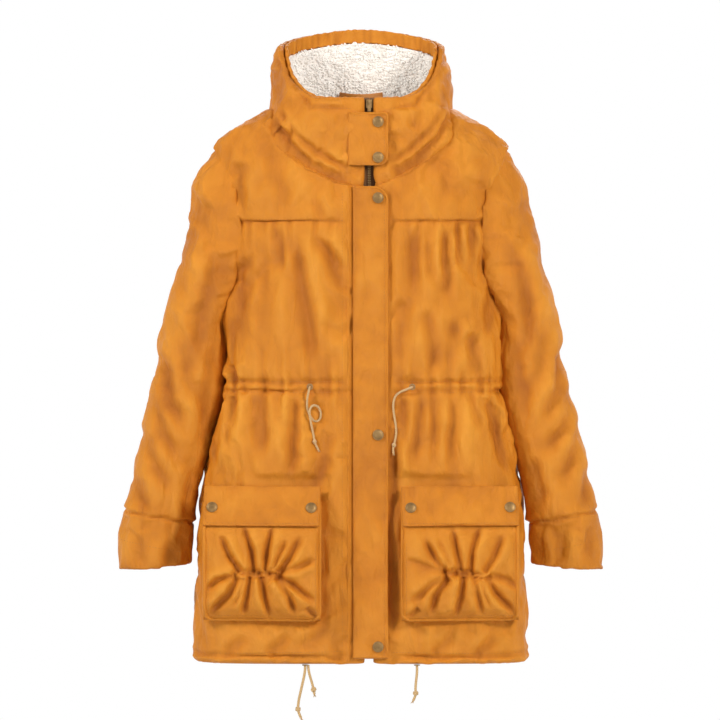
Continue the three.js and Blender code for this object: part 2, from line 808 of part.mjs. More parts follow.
const cuffShare = cuffLength / sleeveLength;
const seamShare = seamGap / sleeveLength;
const sleeveColumns = 14;
const sleeveRows = 12;
const sleeveLiningEnd = 0.97;
const sleeveLiningDepth = shellThickness + layerGap * 3.5;
for (const [word, side] of sides) {
  piece(`${word}_sleeve`, sleeve(sleeveColumns, sleeveRows, (round, along, deep) =>
    sleevePoint(side, round, mix(0, 1 - cuffShare, along), shellThickness * deep)), shellCloth);
  piece(`${word}_cuff`, sleeve(sleeveColumns, 2, (round, along, deep) =>
    sleevePoint(side, round, mix(1 - cuffShare + seamShare, 1, along), shellThickness * deep)),
  shellCloth);
  const liningRows = sleeveRows + 1;
  piece(`${word}_sleeve_lining`, sleeve(sleeveColumns, liningRows, (round, along, deep) => {
    const share = along * liningRows / sleeveRows * (1 - cuffShare);
    return sleevePoint(side, round, along < 1 ? share : sleeveLiningEnd,
      sleeveLiningDepth + sleeveLiningThickness * deep);
  }), liningCloth);
}

// ---------- eyelets and drawcords ----------

function eyeletGeometry() {
  return facingOut(merged(new THREE.LatheGeometry([
    new THREE.Vector2(eyeletHole / 2, 0),
    new THREE.Vector2(eyeletDiameter / 2, 0),
    new THREE.Vector2(eyeletDiameter / 2 - 0.8, eyeletHeight),
    new THREE.Vector2(eyeletHole / 2, eyeletHeight),
    new THREE.Vector2(eyeletHole / 2, 0),
  ], 14)));
}

const eyeletGap = 0.4;
const waistEyeletY = -frontDepth - eyeletGap;
const hemEyeletY = -frontDepth + eyeletDiameter / 2;
for (const [word, side] of sides) {
  snap(`${word}_waist_eyelet`, eyeletGeometry(), side * waistEyeletX, waistEyeletY, -waistDrop);
  const hemEyelet = piece(`${word}_hem_eyelet`, eyeletGeometry(), brass);
  hemEyelet.rotation.x = -Math.PI / 2;
  hemEyelet.position.set(side * hemEyeletX, hemEyeletY, -hemDrop - eyeletGap);
}

// A round cord along its route, with a knot at one of the route's last points; the route is
// given from the middle of the eyelet that the cord comes out of
function cordAlong(exit, route, diameter, steps, knotAt) {
  const circle = new THREE.Shape();
  circle.absarc(0, 0, diameter / 2, 0, Math.PI * 2, false);
  const points = route.map(([x, y, z]) => new THREE.Vector3(x, y, z).add(exit));
  const path = new THREE.CatmullRomCurve3(points, false, 'centripetal');
  const tube = facingOut(merged(new THREE.ExtrudeGeometry(circle, {
    steps, bevelEnabled: false, curveSegments: 4, extrudePath: path,
  })));
  const knot = new THREE.SphereGeometry(knotRadius, 8, 6);
  knot.translate(points[knotAt].x, points[knotAt].y, points[knotAt].z);
  return fromSolid(solid(tube).add(solid(facingOut(merged(knot)))));
}

const rightWaistRoute = [
  [0, 0, 0], [0, -4, 0], [-0.5, -8.5, -1.5], [-1.5, -11, -6],
  [-3, -10, -13], [-4, -7, -22], [-3.5, -5, -31], [-1, -4, -39],
  [3, -3.5, -46], [8, -3.5, -50], [13.5, -3.8, -48], [16, -4.5, -41],
  [14.5, -6, -33], [10, -8.5, -27.5], [4.5, -11, -27], [0.5, -12, -32],
  [0, -10, -41], [1.5, -7, -51], [3.5, -5, -61], [5.5, -4, -71],
  [7, -3.8, -80], [9.5, -3.8, -86], [12.5, -3.6, -92],
];
const leftWaistRoute = [
  [0, 0, 0], [0, -4, 0], [-1.5, -8, -0.5], [-5.5, -9.5, -2],
  [-11.5, -8.5, -4.5], [-18, -6.5, -7.5], [-23.5, -5, -12], [-26.8, -4, -19],
  [-27.8, -3.8, -28], [-27, -3.8, -38], [-25.5, -3.8, -48], [-24, -3.8, -58],
  [-23.6, -3.8, -68], [-25, -3.8, -77], [-26.8, -3.8, -85], [-28, -3.8, -91.5],
  [-27.5, -3.8, -97],
];
const rightHemRoute = [
  [0, 0, 0], [0, 0, -5], [-0.8, -0.5, -12], [-2.5, -1, -21], [-4.8, -1.2, -31], [-7, -1, -41],
  [-9, -0.6, -50], [-10.2, -0.3, -59], [-10.5, -0.2, -65], [-8.8, -0.2, -71.5], [-6, -0.2, -78],
];
const leftHemRoute = [
  [0, 0, 0], [0.2, 0, -5], [0, -0.3, -12], [-0.8, -0.5, -20], [-1.6, -0.4, -28],
  [-2, -0.2, -35], [-1.8, 0, -41.5], [-3, 0, -47], [-5.5, 0, -52.5],
];

for (const [word, side] of sides) {
  const waistRoute = side < 0 ? rightWaistRoute : leftWaistRoute;
  const waistExit = new THREE.Vector3(side * waistEyeletX, waistEyeletY - 0.4, -waistDrop);
  piece(`${word}_waist_cord`, cordAlong(waistExit, waistRoute, waistCordDiameter,
    side < 0 ? 40 : 24, waistRoute.length - 3), cordYarn);
  const hemRoute = side < 0 ? rightHemRoute : leftHemRoute;
  const hemExit = new THREE.Vector3(side * hemEyeletX, hemEyeletY, -hemDrop - 0.9);
  piece(`${word}_hem_cord`, cordAlong(hemExit, hemRoute, hemCordDiameter,
    side < 0 ? 14 : 10, hemRoute.length - 3), cordYarn);
}

export default coat;
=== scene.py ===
import json
import math

import bmesh
import bpy
import numpy as np
from mathutils import Matrix, Vector, kdtree, noise
from mathutils.bvhtree import BVHTree

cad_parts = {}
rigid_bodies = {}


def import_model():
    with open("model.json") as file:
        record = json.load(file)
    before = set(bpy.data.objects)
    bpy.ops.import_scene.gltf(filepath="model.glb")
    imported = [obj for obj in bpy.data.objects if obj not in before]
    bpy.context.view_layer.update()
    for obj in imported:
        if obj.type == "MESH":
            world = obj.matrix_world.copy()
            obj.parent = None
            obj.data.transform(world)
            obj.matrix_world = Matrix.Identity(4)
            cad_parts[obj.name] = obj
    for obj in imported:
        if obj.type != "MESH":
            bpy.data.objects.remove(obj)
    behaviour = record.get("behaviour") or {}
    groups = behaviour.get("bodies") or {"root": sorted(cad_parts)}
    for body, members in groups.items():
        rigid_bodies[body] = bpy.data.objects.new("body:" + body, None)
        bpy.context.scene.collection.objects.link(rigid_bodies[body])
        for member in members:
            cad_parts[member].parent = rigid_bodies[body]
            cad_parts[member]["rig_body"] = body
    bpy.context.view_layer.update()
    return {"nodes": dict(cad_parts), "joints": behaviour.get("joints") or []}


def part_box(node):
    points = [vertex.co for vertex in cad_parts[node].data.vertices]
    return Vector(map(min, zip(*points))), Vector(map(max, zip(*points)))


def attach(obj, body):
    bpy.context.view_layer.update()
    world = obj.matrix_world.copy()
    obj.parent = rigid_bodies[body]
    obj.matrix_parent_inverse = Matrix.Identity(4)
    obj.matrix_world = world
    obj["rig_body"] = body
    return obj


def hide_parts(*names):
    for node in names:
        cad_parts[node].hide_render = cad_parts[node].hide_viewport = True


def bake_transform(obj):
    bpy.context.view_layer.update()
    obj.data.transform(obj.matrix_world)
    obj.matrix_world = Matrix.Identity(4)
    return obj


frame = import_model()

scene = bpy.context.scene

# ---------- The view ----------
# The coat hangs from a hook, square to the viewer, with soft studio light from the upper left and a
# pale floor well below its hem.

view_width = 1.056
view_distance = 9.0
view_raise = math.radians(2.5)
looked_at = Vector((-0.0015, -0.06, -0.3665))
lens = bpy.data.cameras.new("camera")
lens.sensor_width = 36
lens.lens = lens.sensor_width * view_distance / view_width
camera = bpy.data.objects.new("camera", lens)
camera.location = looked_at + Vector((0, -math.cos(view_raise), math.sin(view_raise))) * view_distance
camera.rotation_euler = (math.radians(90) - view_raise, 0, 0)
scene.collection.objects.link(camera)
scene.camera = camera
scene.view_settings.view_transform = "Standard"


def softbox(name, place, size, power, colour):
    light = bpy.data.lights.new(name, "AREA")
    light.size = size
    light.energy = power
    light.color = colour
    holder = bpy.data.objects.new(name, light)
    holder.location = place
    aim = Vector((0, 0, -0.4)) - Vector(place)
    holder.rotation_euler = aim.to_track_quat("-Z", "Y").to_euler()
    scene.collection.objects.link(holder)


softbox("left_light", (-2.3, -1.3, 1.1), 0.6, 54, (1.0, 0.96, 0.90))
softbox("right_light", (1.9, -2.3, 1.0), 0.7, 68, (1.0, 0.96, 0.91))
softbox("back_light", (0.6, 2.8, 1.6), 2.0, 55, (1.0, 0.98, 0.95))

# White near the horizon, which the viewer sees, and greyer above and below
surround = bpy.data.worlds.new("studio")
surround.use_nodes = True
scene.world = surround
sky = surround.node_tree
direction = sky.nodes.new("ShaderNodeTexCoord")
height = sky.nodes.new("ShaderNodeSeparateXYZ")
band = sky.nodes.new("ShaderNodeValToRGB")
steep = sky.nodes.new("ShaderNodeMath")
steep.operation = "ABSOLUTE"
sky.links.new(direction.outputs["Generated"], height.inputs[0])
sky.links.new(height.outputs["Z"], steep.inputs[0])
sky.links.new(steep.outputs[0], band.inputs[0])
band.color_ramp.elements[0].position = 0.16
band.color_ramp.elements[0].color = (1, 1, 1, 1)
band.color_ramp.elements[1].position = 0.34
band.color_ramp.elements[1].color = (0.22, 0.22, 0.22, 1)
sky.links.new(band.outputs[0], sky.nodes["Background"].inputs["Color"])

ground = bmesh.new()
bmesh.ops.create_grid(ground, x_segments=1, y_segments=1, size=1.7)
bmesh.ops.translate(ground, verts=ground.verts, vec=(0, 0, -1.45))
floor_mesh = bpy.data.meshes.new("floor")
ground.to_mesh(floor_mesh)
ground.free()
floor = bpy.data.objects.new("floor", floor_mesh)
scene.collection.objects.link(floor)
floor_paint = bpy.data.materials.new("floor_paint")
floor_paint.use_nodes = True
floor_paint.node_tree.nodes["Principled BSDF"].inputs["Base Color"].default_value = (0.86, 0.86, 0.85, 1)
floor_paint.node_tree.nodes["Principled BSDF"].inputs["Roughness"].default_value = 0.7
floor.data.materials.append(floor_paint)

# ---------- Drawcords ----------
# Braided cotton cords, one pair for the waist and one for the hem. Each comes out of a brass eyelet,
# hangs limp and ends in a plain overhand knot with a little frayed tail.


class Wire:
    """A value in a material's nodes; sums on wires add Math nodes"""

    def __init__(self, tree, socket=None):
        self.tree = tree
        self.socket = socket

    def node(self, kind, settings=None, values=None, out=0):
        made = self.tree.nodes.new("ShaderNode" + kind)
        for name, setting in (settings or {}).items():
            if name == "stops":
                ramp = made.color_ramp
                ramp.elements[0].position, ramp.elements[0].color = setting[0]
                ramp.elements[1].position, ramp.elements[1].color = setting[-1]
                for place, colour in setting[1:-1]:
                    ramp.elements.new(place).color = colour
            else:
                setattr(made, name, setting)
        for name, value in (values or {}).items():
            if isinstance(value, Wire):
                self.tree.links.new(value.socket, made.inputs[name])
            else:
                made.inputs[name].default_value = value
        return Wire(self.tree, made.outputs[out])

    def maths(self, operation, first, second):
        return self.node("Math", {"operation": operation}, {0: first, 1: second})

    def __add__(self, other):
        return self.maths("ADD", self, other)

    def __radd__(self, other):
        return self.maths("ADD", other, self)

    def __sub__(self, other):
        return self.maths("SUBTRACT", self, other)

    def __rsub__(self, other):
        return self.maths("SUBTRACT", other, self)

    def __mul__(self, other):
        return self.maths("MULTIPLY", self, other)

    def __rmul__(self, other):
        return self.maths("MULTIPLY", other, self)


def new_material(name):
    """A material, a wire to build its nodes from, and its Principled shader's sockets"""
    material = bpy.data.materials.new(name)
    material.use_nodes = True
    tree = material.node_tree
    return material, Wire(tree), tree.nodes["Principled BSDF"].inputs


def feed(shader, **values):
    """Links or sets the shader's sockets; the words of a socket's name are joined by underscores"""
    for name, value in values.items():
        socket = shader[name.replace("_", " ")]
        if isinstance(value, Wire):
            value.tree.links.new(value.socket, socket)
        else:
            socket.default_value = value


def blend_colours(wires, share, one, other):
    return wires.node("Mix", {"data_type": "RGBA"}, {0: share, 6: one, 7: other}, out=2)


def noise_at(wires, coords, scale, detail=3.0, roughness=0.55, distortion=0.0):
    return wires.node("TexNoise", None, {
        "Vector": coords, "Scale": scale, "Detail": detail,
        "Roughness": roughness, "Distortion": distortion})


def braid_material():
    material, wires, shader = new_material("braided_cotton")
    coords = wires.node("TexCoord", out=3)
    up = wires.node("TexWave", {"wave_type": "BANDS", "bands_direction": "DIAGONAL"},
                    {"Vector": coords, "Scale": 260.0, "Distortion": 1.5, "Detail": 1.0})
    fibre = noise_at(wires, coords, 900.0)
    # Painted shade and light on the braid: the colour follows the bump's height, darker in the grooves and
    # lighter on the ribs.
    shade = blend_colours(wires, up * 0.6 + fibre * 0.4, (0.42, 0.24, 0.085, 1), (0.78, 0.55, 0.27, 1))
    bump = wires.node("Bump", None, {"Strength": 0.7, "Distance": 0.0006, "Height": up + fibre * 0.4})
    feed(shader, Base_Color=shade, Roughness=0.85, Normal=bump, Sheen_Weight=0.3)
    return material


cord_cotton = braid_material()


def add_piece(name, mesh, material, body="coat"):
    """An object for a finished mesh, which moves with a body"""
    piece = bpy.data.objects.new(name, mesh)
    scene.collection.objects.link(piece)
    mesh.materials.clear()
    mesh.materials.append(material)
    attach(piece, body)
    return piece


def mesh_from(form, name, smooth=True):
    mesh = bpy.data.meshes.new(name)
    form.to_mesh(mesh)
    form.free()
    for face in mesh.polygons:
        face.use_smooth = smooth
    return mesh


def cord_curve(name, points, thickness, material):
    curve = bpy.data.curves.new(name, "CURVE")
    curve.dimensions = "3D"
    curve.bevel_depth = thickness / 2
    curve.bevel_resolution = 3
    curve.use_fill_caps = True
    spline = curve.splines.new("BEZIER")
    spline.bezier_points.add(len(points) - 1)
    for knot, point in zip(spline.bezier_points, points):
        knot.co = point
        knot.handle_left_type = "AUTO"
        knot.handle_right_type = "AUTO"
    curve.materials.append(material)
    piece = bpy.data.objects.new(name, curve)
    scene.collection.objects.link(piece)
    return piece


def knot_mesh(name, centre, radius, thickness, seed):
    """Three loops of cord pulled tight over each other"""
    form = bmesh.new()
    for turn in range(3):
        angle = seed + turn * math.radians(66)
        axis = Vector((math.cos(angle), 0.5 - 0.4 * turn, math.sin(angle))).normalized()
        side = axis.orthogonal().normalized()
        loop = bmesh.ops.create_circle(form, segments=10, radius=thickness * 0.5)["verts"]
        start = Vector(centre) + side * (radius - thickness * 0.45)
        facing = Matrix((side, axis, side.cross(axis))).transposed().to_4x4()
        bmesh.ops.transform(form, verts=loop, matrix=Matrix.Translation(start) @ facing)
        ring = {edge for vert in loop for edge in vert.link_edges}
        bmesh.ops.spin(form, geom=list(ring), cent=centre, axis=axis, angle=math.tau,
                       steps=18, use_merge=True)
    bmesh.ops.remove_doubles(form, verts=form.verts, dist=1e-5)
    bmesh.ops.recalc_face_normals(form, faces=form.faces)
    return mesh_from(form, name)


def frayed_end(name, tip, away, spread, length):
    """The loose threads of a cut end"""
    form = bmesh.new()
    for thread in range(7):
        angle = thread * 2.4
        lean = Vector((math.cos(angle), math.sin(angle) * 0.7, 0)) * spread
        reach = length * (0.7 + 0.3 * math.sin(thread * 1.7))
        ends = Vector(tip) + Vector(away).normalized() * reach + lean
        middle = (Vector(tip) + ends) / 2
        aim = (ends - Vector(tip)).to_track_quat("Z", "Y").to_matrix().to_4x4()
        bmesh.ops.create_cone(form, segments=6, radius1=0.0008, radius2=0.0002, cap_ends=True,
                              depth=(ends - Vector(tip)).length, matrix=Matrix.Translation(middle) @ aim)
    return mesh_from(form, name)


def drawcord(name, node, exit_point, route, thickness, knot_at, seed):
    points = [Vector(exit_point) + Vector(step) for step in route]
    line = cord_curve(name, points, thickness, cord_cotton)
    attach(line, "coat")
    knot = add_piece(name + "_knot", knot_mesh(name + "_knot", points[knot_at], thickness * 1.05,
                                               thickness, seed), cord_cotton)
    tail = add_piece(name + "_tail", frayed_end(name + "_tail", points[-1], points[-1] - points[-2],
                                                thickness * 0.5, thickness * 1.2), cord_cotton)
    if node:
        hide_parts(node)
    return line


waist_cord_thickness = 0.0032
hem_cord_thickness = 0.004
right_waist_route = [
    (0, 0, 0), (0, -0.004, 0), (-0.0005, -0.0085, -0.0015), (-0.0015, -0.011, -0.006),
    (-0.003, -0.010, -0.013), (-0.004, -0.007, -0.022), (-0.0035, -0.005, -0.031), (-0.001, -0.004, -0.039),
    (0.003, -0.0035, -0.046), (0.008, -0.0035, -0.050), (0.0135, -0.0038, -0.048), (0.016, -0.0045, -0.041),
    (0.0145, -0.006, -0.033), (0.010, -0.0085, -0.0275), (0.0045, -0.011, -0.027), (0.0005, -0.012, -0.032),
    (0, -0.010, -0.041), (0.0015, -0.007, -0.051), (0.0035, -0.005, -0.061), (0.0055, -0.004, -0.071),
    (0.007, -0.0038, -0.080), (0.0095, -0.0038, -0.086), (0.0125, -0.0036, -0.092)]
left_waist_route = [
    (0, 0, 0), (0, -0.004, 0), (-0.0015, -0.008, -0.0005), (-0.0055, -0.0095, -0.002),
    (-0.0115, -0.0085, -0.0045), (-0.018, -0.0065, -0.0075), (-0.0235, -0.005, -0.012),
    (-0.0268, -0.004, -0.019), (-0.0278, -0.0038, -0.028), (-0.027, -0.0038, -0.038),
    (-0.0255, -0.0038, -0.048), (-0.024, -0.0038, -0.058), (-0.0236, -0.0038, -0.068),
    (-0.025, -0.0038, -0.077), (-0.0268, -0.0038, -0.085), (-0.028, -0.0038, -0.0915),
    (-0.0275, -0.0038, -0.097)]
right_hem_route = [
    (0, 0, 0), (0, 0, -0.005), (-0.0008, -0.0005, -0.012), (-0.0025, -0.001, -0.021),
    (-0.0048, -0.0012, -0.031), (-0.007, -0.001, -0.041), (-0.009, -0.0006, -0.050),
    (-0.0102, -0.0003, -0.059),
    (-0.0105, -0.0002, -0.065), (-0.0088, -0.0002, -0.0715), (-0.006, -0.0002, -0.078)]
left_hem_route = [
    (0, 0, 0), (0.0002, 0, -0.005), (0, -0.0003, -0.012), (-0.0008, -0.0005, -0.020),
    (-0.0016, -0.0004, -0.028), (-0.002, -0.0002, -0.035), (-0.0018, 0, -0.0415), (-0.003, 0, -0.047),
    (-0.0055, 0, -0.0525)]
short_hem_route = [
    (0.0045, 0, 0), (0.0048, 0, -0.005), (0.006, -0.0004, -0.012), (0.0082, -0.0008, -0.020),
    (0.0105, -0.0008, -0.028), (0.0124, -0.0006, -0.036), (0.0136, -0.0004, -0.043)]


def waist_exit(side):
    low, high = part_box(f"{side}_waist_eyelet")
    return ((low.x + high.x) / 2, low.y + 0.0008, (low.z + high.z) / 2)


def hem_exit(side):
    low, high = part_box(f"{side}_hem_eyelet")
    return ((low.x + high.x) / 2, (low.y + high.y) / 2, low.z + 0.0007)


drawcord("right_waist_drawcord", "right_waist_cord", waist_exit("right"), right_waist_route,
         waist_cord_thickness, -3, 0.4)
drawcord("left_waist_drawcord", "left_waist_cord", waist_exit("left"), left_waist_route,
         waist_cord_thickness, -3, 1.1)
drawcord("right_hem_drawcord", "right_hem_cord", hem_exit("right"), right_hem_route,
         hem_cord_thickness, -3, 0.9)
drawcord("left_hem_drawcord", "left_hem_cord", hem_exit("left"), left_hem_route,
         hem_cord_thickness, -3, 2.0)
drawcord("right_hem_drawcord_short_end", None, hem_exit("right"), short_hem_route,
         hem_cord_thickness, -2, 2.6)

# ---------- Yokes and panels of the body ----------
# Padded shell of a fine, slightly satiny plain weave, sewn in yokes and lower panels. The stuffing
# rounds each panel between its seams, and the cloth hangs in gathers under the yoke and at the waist.

fine = 0.0045


def shell_material():
    material, wires, shader = new_material("shell_cloth")
    coords = wires.node("TexCoord", out=3)
    # The fold attribute is painted shade and light: darker in fold valleys and near seams, lighter on fold
    # ridges.
    fold = wires.node("Attribute", {"attribute_name": "fold"}, out=2)
    cloud = noise_at(wires, coords, 7.0, 2.0)
    mottle = noise_at(wires, coords, 55.0, 4.0, 0.6)
    hanging = wires.node("Mapping", None, {"Vector": coords, "Scale": (1.0, 1.0, 0.36)})
    broad_waves = noise_at(wires, hanging, 19.0, 2.0, 0.5, 0.5) - 0.5
    narrow_waves = noise_at(wires, hanging, 46.0, 3.0, 0.5, 0.7) - 0.5
    broad = wires.node("Math", {"operation": "ABSOLUTE"}, {0: broad_waves})
    narrow = wires.node("Math", {"operation": "ABSOLUTE"}, {0: narrow_waves})
    broad_crease = wires.node("Math", {"operation": "MINIMUM"}, {0: broad * 7.0, 1: 1.0})
    narrow_crease = wires.node("Math", {"operation": "MINIMUM"}, {0: narrow * 6.0, 1: 1.0})
    # Cloud and mottle are the cloth's own uneven tone. The fold attribute and the noise creases, which also
    # shape the bump, are painted shade, darker in the creases. The ramp's darkest stops are the colour of
    # that painted shade.
    depth = (0.50 + fold * 0.20 + (cloud - 0.5) * 0.16 + (mottle - 0.5) * 0.12
             + broad_crease * 0.05 + narrow_crease * 0.03)
    shade = wires.node("ValToRGB", {"stops": [
        (0.0, (0.22, 0.045, 0.002, 1)), (0.28, (0.44, 0.126, 0.005, 1)),
        (0.52, (0.66, 0.225, 0.011, 1)), (0.95, (0.88, 0.370, 0.036, 1))]}, {0: depth})
    warp_threads = wires.node("TexWave", {"bands_direction": "X"}, {"Vector": coords, "Scale": 420.0})
    weft_threads = wires.node("TexWave", {"bands_direction": "Z"}, {"Vector": coords, "Scale": 420.0})
    crinkle = noise_at(wires, coords, 95.0, 5.0, 0.62, 0.6)
    pucker = noise_at(wires, coords, 28.0, 3.0, 0.5, 0.9)
    weave = (warp_threads + weft_threads) * 0.05
    bump = wires.node("Bump", None, {
        "Strength": 1.0, "Distance": 0.0033,
        "Height": crinkle * 0.4 + pucker * 0.6 + weave + broad_crease * 0.55 + narrow_crease * 0.28})
    feed(shader, Base_Color=shade, Roughness=0.50 + (mottle - 0.5) * 0.25, Normal=bump,
         Sheen_Weight=0.05, Sheen_Roughness=0.4, Sheen_Tint=(1.0, 0.55, 0.2, 1), Specular_IOR_Level=0.34)
    return material


shell_cloth = shell_material()


def settle(piece):
    """Makes what the modifiers have done the mesh itself"""
    graph = bpy.context.evaluated_depsgraph_get()
    finished = bpy.data.meshes.new_from_object(piece.evaluated_get(graph))
    piece.modifiers.clear()
    worn = piece.data
    piece.data = finished
    bpy.data.meshes.remove(worn)


def points_of(piece):
    flat = np.empty(len(piece.data.vertices) * 3)
    piece.data.vertices.foreach_get("co", flat)
    return flat.reshape(-1, 3)


def normals_of(piece):
    flat = np.empty(len(piece.data.vertices) * 3)
    piece.data.vertex_normals.foreach_get("vector", flat)
    return flat.reshape(-1, 3)


def place_points(piece, points):
    piece.data.vertices.foreach_set("co", points.reshape(-1))
    piece.data.update()


def cut_cloth(name, nodes, voxel=fine):
    """The solids of a padded piece as one closed skin of quads small enough to fold"""
    form = bmesh.new()
    for node in nodes:
        form.from_mesh(frame["nodes"][node].data)
    bmesh.ops.remove_doubles(form, verts=form.verts, dist=1e-5)
    piece = bpy.data.objects.new(name, mesh_from(form, name))
    scene.collection.objects.link(piece)
    remesh = piece.modifiers.new("remesh", "REMESH")
    remesh.mode = "VOXEL"
    remesh.voxel_size = voxel
    remesh.use_smooth_shade = True
    settle(piece)
    return piece


def around_body(points):
    """Which way is out, all round the body's oval"""
    out = np.stack([points[:, 0] / 0.22 ** 2, points[:, 1] / 0.08 ** 2, np.zeros(len(points))], 1)
    return out / np.linalg.norm(out, axis=1, keepdims=True)


def smooth_step(t):
    t = np.clip(t, 0, 1)
    return t * t * (3 - 2 * t)


def seam_distance(points, facing):
    """How far each point is from the piece's sewn edge, where its skin turns from outside to inside"""
    edge = np.nonzero(np.abs(facing) < 0.45)[0]
    tree = kdtree.KDTree(len(edge))
    for i in edge:
        tree.insert(points[i], int(i))
    tree.balance()
    return np.array([tree.find(point)[2] if out > 0 else 0 for point, out in zip(points, facing)])


def crease(x, z, line, depth, width, ends=(0.22, 0.35)):
    """A fold along a line: a valley with a softer ridge beside it, fading at both ends"""
    line = np.array(line)
    steps = np.linalg.norm(np.diff(line, axis=0), axis=1)
    total = steps.sum()
    near = np.full(x.shape, 1e9)
    side = np.zeros(x.shape)
    along = np.zeros(x.shape)
    walked = 0
    for (x0, z0), (x1, z1), step in zip(line, line[1:], steps):
        ux, uz = (x1 - x0) / step, (z1 - z0) / step
        t = np.clip((x - x0) * ux + (z - z0) * uz, 0, step)
        dx, dz = x - x0 - ux * t, z - z0 - uz * t
        away = np.hypot(dx, dz)
        closer = away < near
        near = np.where(closer, away, near)
        side = np.where(closer, ux * dz - uz * dx, side)
        along = np.where(closer, (walked + t) / total, along)
        walked += step
    fade = smooth_step(along / ends[0]) * smooth_step((1 - along) / ends[1])
    across = np.sign(side) * near
    valley = np.exp(-(across / width) ** 2)
    ridge = np.exp(-((across - 1.7 * width) / (1.5 * width)) ** 2)
    return depth * (0.55 * ridge - valley) * fade


def ripple(x, pitch, seed):
    """An uneven wave, from -1 to 1, with about one crest to each pitch"""
    turn = math.tau / pitch
    wave = np.sin(x * turn + seed) + 0.7 * np.sin(x * turn * 1.63 + seed * 2.3)
    return (wave + 0.45 * np.sin(x * turn * 0.57 + seed * 3.1)) / 2.15


def crumple(points, size, seed):
    """Soft dents of about one size, from -1 to 1"""
    shift = Vector((seed, seed * 0.7, seed * 1.3))
    return np.array([noise.noise(Vector(point) / size + shift) for point in points])


def fold_cloth(piece, outward, folds, puff=0.004, deepest=0.0075, highest=0.016, seam_width=0.014,
               smoothing=30):
    """Rounds a padded skin between its seams and presses its folds into the outer side"""
    points = points_of(piece)
    out = outward(points)
    facing = (normals_of(piece) * out).sum(1)
    form = bmesh.new()
    form.from_mesh(piece.data)
    inner = [vert for vert, way in zip(form.verts, facing) if abs(way) > 0.45]
    for _ in range(smoothing):
        bmesh.ops.smooth_vert(form, verts=inner, factor=0.5, use_axis_x=True, use_axis_y=True,
                              use_axis_z=True)
    rounded = np.array([vert.co for vert in form.verts])
    form.free()
    away = seam_distance(points, facing)
    rounding = ((rounded - points) * out).sum(1) * smooth_step((away - 0.003) / 0.012)
    swell = puff * (1 - np.exp(-away / seam_width))
    shape = folds(points)
    held = smooth_step(away / (seam_width * 0.75))
    rise = np.clip(swell + shape * held, -deepest, highest)
    rise = rounding + rise * smooth_step((facing - 0.1) / 0.5)
    place_points(piece, points + out * rise[:, None])
    # Painted shade and light for the shell's colour: the fold attribute is darker in fold valleys and along
    # the seams, lighter on fold ridges.
    depth = piece.data.attributes.new("fold", "FLOAT", "POINT")
    painted_fold_shade = np.clip(shape * held / 0.006, -1, 1) - 0.55 * np.exp(-away / 0.004)
    depth.data.foreach_set("value", painted_fold_shade.astype(np.float32))


def fill_out(piece, outward, pressure=1.6, growth=0.045, cap=0.0045, frames=14):
    """Lets the stuffing push the cloth out by a cloth simulation. The seams and the inner side hold, and
    the cloth is a little too big for the space, so that it buckles as it fills."""
    started = points_of(piece)
    facing = (normals_of(piece) * outward(started)).sum(1)
    away = seam_distance(started, facing)
    held = np.nonzero((facing < 0.3) | (away < 0.004))[0]
    group = piece.vertex_groups.new(name="held")
    group.add(held.tolist(), 1.0, "REPLACE")
    cloth = piece.modifiers.new("cloth", "CLOTH")
    settings = cloth.settings
    settings.quality = 3
    settings.mass = 0.1
    settings.tension_stiffness = 12
    settings.compression_stiffness = 12
    settings.shear_stiffness = 4
    settings.bending_stiffness = 0.12
    settings.use_pressure = True
    settings.uniform_pressure_force = pressure
    settings.shrink_min = -growth
    settings.vertex_group_mass = "held"
    settings.effector_weights.gravity = 0
    cloth.collision_settings.use_collision = False
    cloth.point_cache.frame_start = 1
    cloth.point_cache.frame_end = frames
    for number in range(1, frames + 1):
        scene.frame_set(number)
    settle(piece)
    scene.frame_set(1)
    moved = points_of(piece) - started
    length = np.linalg.norm(moved, axis=1, keepdims=True)
    moved *= np.minimum(1, cap / np.maximum(length, 1e-9))
    place_points(piece, started + moved)


def lie_under(piece, covers):
    """Keeps the front of the body behind what lies on it: covers are boxes or points with a clear depth"""
    points = points_of(piece)
    x, y, z = points.T
    limit = np.full(len(points), 1.0)
    for low, high, depth in covers:
        beside = np.hypot(np.maximum(np.maximum(low[0] - x, x - high[0]), 0),
                          np.maximum(np.maximum(low[1] - z, z - high[1]), 0))
        limit = np.minimum(limit, depth + 0.022 * smooth_step(beside / 0.026))
    points[:, 1] = np.where(y < 0, np.maximum(y, -limit), y)
    place_points(piece, points)


def front_covers():
    """The flaps and pockets that the body lies under, and the eyelets and cords that rest on it"""
    under_storm_flap = -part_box("storm_flap")[1].y - 0.0004
    under_pocket, under_hinge, under_cord, under_eyelet = 0.0820, 0.0802, 0.0824, 0.0804
    covers = []
    for node, depth in (("storm_flap", under_storm_flap), ("right_pocket", under_pocket),
                        ("left_pocket", under_pocket)):
        low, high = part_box(node)
        covers.append(((low.x, low.z), (high.x, high.z), depth))
    for side in ("right", "left"):
        low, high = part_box(side + "_pocket_flap")
        covers.append(((low.x - 0.004, high.z - 0.004), (high.x + 0.004, high.z + 0.008), under_hinge))
    for side, route in (("right", right_waist_route), ("left", left_waist_route)):
        exit_x, _, exit_z = waist_exit(side)
        for dx, _, dz in route[::2]:
            covers.append(((exit_x + dx - 0.002, exit_z + dz - 0.002),
                           (exit_x + dx + 0.002, exit_z + dz + 0.002), under_cord))
        covers.append(((exit_x - 0.005, exit_z - 0.005), (exit_x + 0.005, exit_z + 0.005), under_eyelet))
    return covers


waist_z = -0.405
yoke_z = -0.165
hem_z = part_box("back_panel")[0].z

